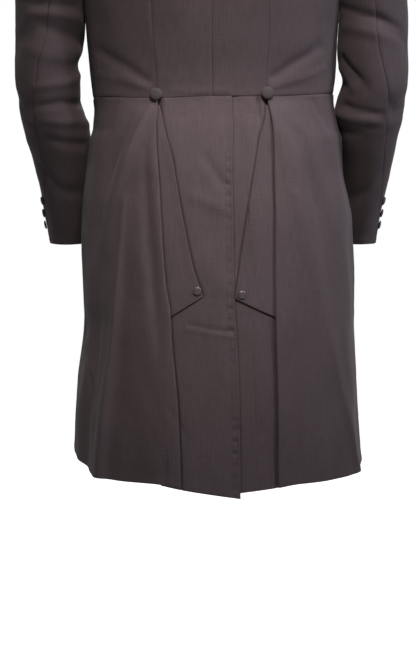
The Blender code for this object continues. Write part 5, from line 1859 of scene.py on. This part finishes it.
@dataclass
class Buttons:
    """Covered buttons at the hips, on the flaps, at the cuffs and down the front."""

    segments: int = 36
    hip: ButtonKind = ButtonKind(0.0095, 0.0046, 0.0030)
    small: ButtonKind = ButtonKind(0.0064, 0.0032)
    cuff: ButtonKind = ButtonKind(0.0068, 0.0034)
    front: ButtonKind = ButtonKind(0.0095, 0.0042)

    def dome(self, name: str, centre: np.ndarray, normal: np.ndarray, kind: ButtonKind, above: float,
             finish: "Finish") -> bpy.types.Object:
        """One button: a profile turned round its axis, pleated a little under its rim.

        Args:
            name: Node it stands for.
            centre: Point on the cloth.
            normal: Its axis.
            kind: Its sizes.
            above: Height of its flat back over the point.
            finish: Its finish.

        Returns:
            The piece.
        """
        r, h = kind.radius, kind.height
        shape = np.array(BUTTON_PROFILE)
        if kind.shank:
            low = -kind.shank / h
            shape = np.concatenate([np.array(SHANK_PROFILE) * (1.0, low), shape[1:]])
        turn = np.linspace(0, 2 * np.pi, self.segments, endpoint=False)[None, :]
        pleat = 1 + 0.012 * np.cos(18 * turn) * bell(shape[:, 1:] - 0.15, 0.22)
        side = unit(np.cross(normal, np.array([0.0, 0.0, 1.0])))
        up = np.cross(normal, side)
        around = np.cos(turn)[..., None] * side + np.sin(turn)[..., None] * up
        ring_points = centre + around * (shape[:, :1] * r * pleat)[..., None]
        ring_points = ring_points + normal * (above + shape[:, 1:] * h)[..., None]
        n, rows = self.segments, len(shape)
        index = np.arange(rows * n).reshape(rows, n)
        after = np.roll(index, -1, axis=1)
        quads = np.stack([index[:-1], after[:-1], after[1:], index[1:]], axis=-1).reshape(-1, 4)
        ends = np.array([rows * n, rows * n + 1])
        caps = [np.stack([np.full(n, ends[0]), after[0], index[0], index[0]], axis=-1),
                np.stack([np.full(n, ends[1]), index[-1], after[-1], after[-1]], axis=-1)]
        corners = ring_points.reshape(-1, 3)
        tips = [corners[:n].mean(axis=0), corners[-n:].mean(axis=0)]
        corners = np.concatenate([corners, tips])
        faces = [tuple(q) for q in quads.tolist()] + [tuple(c[:3]) for cap in caps for c in cap.tolist()]
        piece = mesh_piece(name + "_cover", corners, faces, finish)
        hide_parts(name)
        return piece

    def build(self, finish: "Finish", glossy: "Finish") -> None:
        """Builds every button.

        Args:
            finish: Finish of the covered buttons.
            glossy: Finish of the small ones on the flaps.
        """
        for (side, word), (degrees, z) in zip(SIDES, HIP_BUTTON_PLACES):
            point, normal = frame_at(ring, side * degrees, z)
            self.dome("hip_button_" + word, point, normal, self.hip, HIP_BUTTON_ABOVE, finish)
        for (side, word), (degrees, z) in zip(SIDES, FLAP_BUTTON_PLACES):
            point, normal = frame_at(skirt, side * degrees, z)
            lift = LAYER + float(side_overlap(side, degrees)) + WALL / 2 + SEAM_GAP + 0.0004
            self.dome("side_edge_button_" + word, point, normal, self.small, lift, glossy)
        for side, word in SIDES:
            for number, z in enumerate(CUFF_BUTTON_HEIGHTS, 1):
                turn = float(hindarm(z)) + CUFF_BUTTON_TURN
                point = sleeve_ring(side, turn, z)
                around = sleeve_ring(side, turn + 2, z) - sleeve_ring(side, turn - 2, z)
                along = sleeve_ring(side, turn, z + 0.004) - sleeve_ring(side, turn, z - 0.004)
                normal = unit(np.cross(along, around)) * side
                lift = WALL / 2 + SEAM_GAP + 0.0003
                self.dome("cuff_button_%s_%d" % (word, number), point, normal, self.cuff, lift, finish)
        for number, (level, room) in enumerate(FRONT_BUTTON_PLACES, 1):
            point, normal = frame_at(bodice_form, 180.0, level, 0.02)
            lift = OVERLAP_SHIFT + WALL / 2 + SEAM_GAP + room
            self.dome("front_button_%d" % number, point, normal, self.front, lift, finish)
        LOG.info("buttons built")


@dataclass
class Sewing:
    """Rows of stitches on the panels, and the buttonholes of the front."""

    pitch: float = 0.0042
    length: float = 0.0026
    width: float = 0.00055
    height: float = 0.00030

    def stitches(self, name: str, line: tuple[np.ndarray, np.ndarray], finish: "Finish",
                 pitch: float | None = None, length: float | None = None, turned: bool = False,
                 wide: float = 1.0) -> bpy.types.Object:
        """A row of stitches along a line on the cloth, each a small eight-faced grain of thread.

        Args:
            name: Name of the row.
            line: Points and normals along it.
            finish: Finish of the thread.
            pitch: Distance between stitches.
            length: Length of a stitch.
            turned: Whether stitches lie across the line.
            wide: Factor on their width.

        Returns:
            The piece.
        """
        place, normals = line
        pitch, length = pitch or self.pitch, length or self.length
        run = np.concatenate([[0.0], np.cumsum(np.linalg.norm(np.diff(place, axis=0), axis=1))])
        at = np.arange(pitch, run[-1] - pitch * 0.5, pitch)
        centre = np.stack([np.interp(at, run, place[:, k]) for k in range(3)], axis=-1)
        normal = unit(np.stack([np.interp(at, run, normals[:, k]) for k in range(3)], axis=-1))
        ahead = np.stack([np.interp(at + pitch * 0.3, run, place[:, k]) for k in range(3)], axis=-1)
        along = unit(ahead - centre)
        across = unit(np.cross(normal, along))
        if turned:
            along, across = across, -along
        offsets = [along * length / 2, -along * length / 2, across * self.width * wide / 2,
                   -across * self.width * wide / 2, normal * self.height, -normal * self.height * 0.6]
        corners = (centre + normal * 0.00004)[:, None, :] + np.stack(offsets, axis=1)
        faces = np.array([(0, 2, 4), (2, 1, 4), (1, 3, 4), (3, 0, 4),
                          (2, 0, 5), (1, 2, 5), (3, 1, 5), (0, 3, 5)])
        faces = (faces[None] + 6 * np.arange(len(at))[:, None, None]).reshape(-1, 3)
        return mesh_piece(name, corners.reshape(-1, 3), faces.tolist(), finish)

    def build(self, parts: dict[str, Panel], finish: "Finish") -> None:
        """Sews the edges that show, and works the buttonholes.

        Args:
            parts: Panels by name.
            finish: Finish of the thread.
        """
        for _, word in SIDES:
            rows = (("forepart", 3, 0.006), ("lapel", 3, 0.005), ("skirt_side", 3, 0.006),
                    ("side_edge", 3, 0.0035), ("side_edge", 1, 0.0035))
            for part, edge, inset in rows:
                panel = parts["%s_%s_cloth" % (part, word)]
                self.stitches("stitches_%s_%s_%d" % (part, word, edge), panel.line(edge, inset), finish)
            for part in ("top_sleeve", "under_sleeve"):
                panel = parts["%s_%s_cloth" % (part, word)]
                self.stitches("stitches_%s_%s" % (part, word), panel.line(1, 0.0065), finish)
        self.stitches("stitches_collar", parts["collar_cloth"].line(3, 0.005), finish)
        self.stitches("stitches_vent", parts["skirt_back_left_cloth"].line(2, 0.0085), finish,
                      pitch=VENT_PITCH, length=0.0016, turned=True)
        self.stitches("stitches_vent_under", parts["skirt_back_right_cloth"].line(2, 0.006), finish)
        panel = parts["forepart_left_cloth"]
        face = (panel.laid + panel.outward * WALL / 2).reshape(-1, 3)
        facing = panel.outward.reshape(-1, 3)
        for number, (level, _) in enumerate(FRONT_BUTTON_PLACES, 1):
            start = bodice_form(180.0, level)
            for row, shift in enumerate((-0.0011, 0.0011)):
                across = np.linspace(0, 0.023, 12)[:, None]
                wanted = start + across * np.array([1.0, 0.0, 0.0]) + np.array([0.0, 0.0, shift])
                near = ((wanted[:, None, :] - face[None]) ** 2).sum(axis=-1).argmin(axis=1)
                lift = ((face[near] - wanted) * facing[near]).sum(axis=-1, keepdims=True)
                line = (wanted + facing[near] * lift, facing[near])
                self.stitches("buttonhole_%d_%d" % (number, row), line, finish, pitch=0.0007,
                              length=0.0020, turned=True, wide=1.2)
        LOG.info("sewing built")


class Value:
    """A socket's value, on which sums and products add Math nodes."""

    def __init__(self, nodes: "Nodes", socket: Any) -> None:
        """Keeps the socket and the tree it is in."""
        self.nodes, self.socket = nodes, socket

    def _math(self, operation: str, *others: Any) -> "Value":
        """A Math node on this value and others."""
        return self.nodes.add("ShaderNodeMath", {"operation": operation}, [self, *others])

    def __add__(self, other: Any) -> "Value":
        """Sum."""
        return self._math("ADD", other)

    __radd__ = __add__

    def __mul__(self, other: Any) -> "Value":
        """Product."""
        return self._math("MULTIPLY", other)

    __rmul__ = __mul__

    def __sub__(self, other: Any) -> "Value":
        """Difference."""
        return self._math("SUBTRACT", other)

    def __rsub__(self, other: Any) -> "Value":
        """Difference from a number."""
        return self.nodes.add("ShaderNodeMath", {"operation": "SUBTRACT"}, [other, self])

    def sine(self) -> "Value":
        """Sine of the value."""
        return self._math("SINE")


class Nodes:
    """The nodes of one material."""

    def __init__(self, name: str) -> None:
        """Makes a material whose Principled shader stays."""
        self.made = bpy.data.materials.new(name)
        self.made.use_nodes = True
        self.tree = self.made.node_tree
        self.shader = self.tree.nodes["Principled BSDF"]

    def set(self, socket: Any, value: Any) -> None:
        """Links a value to a socket, or sets a number or colour on it."""
        if isinstance(value, Value):
            self.tree.links.new(value.socket, socket)
        elif value is not None:
            socket.default_value = value

    def add(self, kind: str, settings: dict[str, Any], values: Sequence[Any] | dict[str, Any],
            output: int | str = 0) -> Value:
        """Adds a node.

        Args:
            kind: Type of the node.
            settings: Its settings, and the stops of a ramp under "stops".
            values: Values or links of its sockets, in order or by name.
            output: The output wanted.

        Returns:
            The output's value.
        """
        node = self.tree.nodes.new(kind)
        for key, value in settings.items():
            if key == "stops":
                ramp = node.color_ramp
                for element, (at, colour) in zip(ramp.elements, value):
                    element.position, element.color = at, colour
            else:
                setattr(node, key, value)
        pairs = values.items() if isinstance(values, dict) else enumerate(values)
        for key, value in pairs:
            self.set(node.inputs[key], value)
        return Value(self, node.outputs[output])

    def blend(self, share: Any, first: Any, second: Any) -> Value:
        """Mix of two colours by a share."""
        return self.add("ShaderNodeMix", {"data_type": "RGBA"}, {0: share, 6: first, 7: second}, 2)

    def noise(self, place: Value, scale: float, detail: float, rough: float = 0.5) -> Value:
        """Noise at a place, about a half."""
        return self.add("ShaderNodeTexNoise", {}, {"Vector": place, "Scale": scale, "Detail": detail,
                                                   "Roughness": rough})


@dataclass(frozen=True)
class Finish:
    """A finish: its colours and how it is woven."""

    name: str
    slot: str
    colour: tuple[float, float, float, float]
    light: tuple[float, float, float, float]
    roughness: float
    sheen: float = 0.0
    woven: bool = True
    coat: float = 0.0

    def material(self) -> bpy.types.Material:
        """The material, made once.

        The warp is a fine noise drawn out along the cloth's length, crossed by a weaker weft, and a
        slow noise on Object coordinates fades the colour a little where the cloth has been pressed.
        """
        found = bpy.data.materials.get(self.name)
        if found:
            return found
        nodes = Nodes(self.name)
        place = nodes.add("ShaderNodeTexCoord", {}, [], "Object")
        slow = nodes.noise(place, 9.0, 3.0)
        if self.woven:
            cut = nodes.add("ShaderNodeUVMap", {"uv_map": "cut"}, [])
            warp = nodes.add("ShaderNodeVectorMath", {"operation": "MULTIPLY"}, [cut, (620.0, 34.0, 1.0)])
            weft = nodes.add("ShaderNodeVectorMath", {"operation": "MULTIPLY"}, [cut, (45.0, 560.0, 1.0)])
            warp_yarn = nodes.noise(warp, 1.0, 2.0)
            weft_yarn = nodes.noise(weft, 1.0, 2.0)
            yarn = warp_yarn * 0.62 + weft_yarn * 0.38
            fleck = nodes.noise(place, 420.0, 2.0, 0.6)
            share = yarn * 1.5 + fleck * 0.25 + slow * 0.45 - 0.62
            height = yarn + fleck * 0.5
            distance, strength = 0.00035, 0.35
        else:
            yarn = nodes.noise(place, 1500.0, 2.0, 0.6)
            share = yarn * 0.8 + slow * 0.4 - 0.1
            height = yarn
            distance, strength = 0.0002, 0.30
        colour = nodes.blend(share, self.colour, self.light)
        bump = nodes.add("ShaderNodeBump", {}, {"Strength": strength, "Distance": distance, "Height": height})
        shader = nodes.shader.inputs
        sockets = {
            "Base Color": colour,
            "Roughness": slow * 0.12 + (self.roughness - 0.06),
            "Normal": bump,
            "Sheen Weight": self.sheen,
            "Sheen Roughness": 0.45,
            "Sheen Tint": (0.80, 0.74, 0.74, 1.0),
            "Specular IOR Level": 0.25 if self.woven or self.coat else 0.08,
        }
        if self.coat:
            sockets |= {"Coat Weight": self.coat, "Coat Roughness": 0.18}
        for key, value in sockets.items():
            nodes.set(shader[key], value)
        return nodes.made


WOOL = Finish("dark_wool", "coat_cloth", (0.0475, 0.0328, 0.0350, 1.0), (0.0827, 0.0589, 0.0622, 1.0),
              0.88, 0.05)
COVER = Finish("covered_button", "covered_button", (0.044, 0.0260, 0.0285, 1.0), (0.072, 0.0460, 0.0490, 1.0),
               0.85, 0.0, False)
GLOSSY = Finish("smooth_button", "covered_button", (0.045, 0.031, 0.034, 1.0), (0.075, 0.053, 0.057, 1.0),
                0.45, 0.0, False, 0.6)
THREAD = Finish("dark_thread", "coat_cloth", (0.026, 0.020, 0.020, 1.0), (0.046, 0.036, 0.036, 1.0),
                0.55, 0.0, False)


@dataclass
class Studio:
    """Pale floor, soft lights and the camera."""

    floor_z: float = -1.46
    floor_radius: float = 5.0
    floor_sides: int = 96
    eye: tuple[float, float, float] = (0.0062, 3.2, -0.624)
    aim: tuple[float, float, float] = (0.0062, 0.0, -0.8224)
    lens: float = 111.6
    ambient: float = 0.10

    @staticmethod
    def aimed(obj: bpy.types.Object, place: tuple[float, float, float],
              aim: tuple[float, float, float]) -> None:
        """Stands a lamp or camera at a place and turns it to a point."""
        obj.location = place
        way = Vector(aim) - Vector(place)
        obj.rotation_euler = way.to_track_quat("-Z", "Y").to_euler()

    def light(self, name: str, place: tuple[float, float, float], size: float, power: float,
              colour: tuple[float, float, float], aim: tuple[float, float, float] = (0.0, 0.0, -0.75),
              spread: float = 180.0) -> None:
        """A soft square light aimed at a point.

        Args:
            name: Its name.
            place: Where it stands.
            size: Side of the square.
            power: Watts.
            colour: Its colour.
            aim: Point it looks at.
            spread: Degrees over which it shines.
        """
        lamp = bpy.data.lights.new(name, "AREA")
        lamp.shape, lamp.size, lamp.energy, lamp.color = "SQUARE", size, power, colour
        lamp.spread = float(np.radians(spread))
        obj = bpy.data.objects.new(name, lamp)
        bpy.context.scene.collection.objects.link(obj)
        self.aimed(obj, place, aim)

    def build(self) -> None:
        """Makes the world, floor, lights and camera."""
        scene = bpy.context.scene
        world = bpy.data.worlds.new("studio")
        scene.world = world
        world.use_nodes = True
        tree = world.node_tree
        seen, lit = tree.nodes["Background"], tree.nodes.new("ShaderNodeBackground")
        for ground, colour, strength in ((seen, (1.0, 1.0, 1.0, 1.0), 1.0),
                                         (lit, (0.90, 0.95, 1.0, 1.0), self.ambient)):
            ground.inputs["Color"].default_value = colour
            ground.inputs["Strength"].default_value = strength
        path, mix = tree.nodes.new("ShaderNodeLightPath"), tree.nodes.new("ShaderNodeMixShader")
        tree.links.new(path.outputs["Is Camera Ray"], mix.inputs[0])
        tree.links.new(lit.outputs[0], mix.inputs[1])
        tree.links.new(seen.outputs[0], mix.inputs[2])
        tree.links.new(mix.outputs[0], tree.nodes["World Output"].inputs["Surface"])
        scene.view_settings.view_transform = "Standard"
        turn = np.linspace(0, 2 * np.pi, self.floor_sides, endpoint=False)
        rim = points(self.floor_radius * np.cos(turn), self.floor_radius * np.sin(turn), self.floor_z)
        mesh = bpy.data.meshes.new("floor")
        mesh.from_pydata(rim.tolist(), [], [tuple(range(self.floor_sides))])
        floor = bpy.data.objects.new("floor", mesh)
        scene.collection.objects.link(floor)
        pale = Nodes("pale_floor")
        for key, value in (("Base Color", (0.45, 0.45, 0.45, 1.0)), ("Roughness", 0.9),
                           ("Emission Color", (1.0, 1.0, 1.0, 1.0)), ("Emission Strength", 0.92)):
            pale.set(pale.shader.inputs[key], value)
        floor.visible_diffuse = False
        mesh.materials.append(pale.made)
        self.light("key", (-0.12, 1.35, 0.90), 0.35, 1.34, (1.0, 0.95, 0.92), (0.0, 0.1, -0.60), 28.0)
        self.light("window", (-2.0, 1.0, 1.3), 0.8, 2.1, (0.74, 0.84, 1.0), (-0.27, 0.0, -0.38), 24.0)
        self.light("front", (-1.0, -3.2, 0.9), 2.0, 45.0, (1.0, 0.99, 0.98))
        self.light("overhead", (0.0, -1.2, 3.6), 7.0, 148.0, (1.0, 1.0, 1.0), (0.0, -1.2, -1.0))
        eye = bpy.data.cameras.new("camera")
        eye.lens, eye.sensor_fit, eye.sensor_height, eye.sensor_width = self.lens, "VERTICAL", 36.0, 36.0
        eye.clip_start, eye.clip_end = 0.05, 100.0
        obj = bpy.data.objects.new("camera", eye)
        scene.collection.objects.link(obj)
        self.aimed(obj, self.eye, self.aim)
        scene.camera = obj


def main() -> None:
    """Builds the coat's looks in order."""
    logging.basicConfig(level=logging.INFO, format="%(message)s")
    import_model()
    Studio().build()
    bodice_part = Bodice()
    neckline, sleeves, skirt_part = Neckline(bodice_part), Sleeves(), Skirt()
    for part in (bodice_part, neckline, sleeves, skirt_part):
        part.build(WOOL)
    Buttons().build(COVER, GLOSSY)
    panels = bodice_part.panels + neckline.panels + sleeves.panels + skirt_part.panels
    Sewing().build({panel.name: panel for panel in panels}, THREAD)


if __name__ == "__main__":
    main()
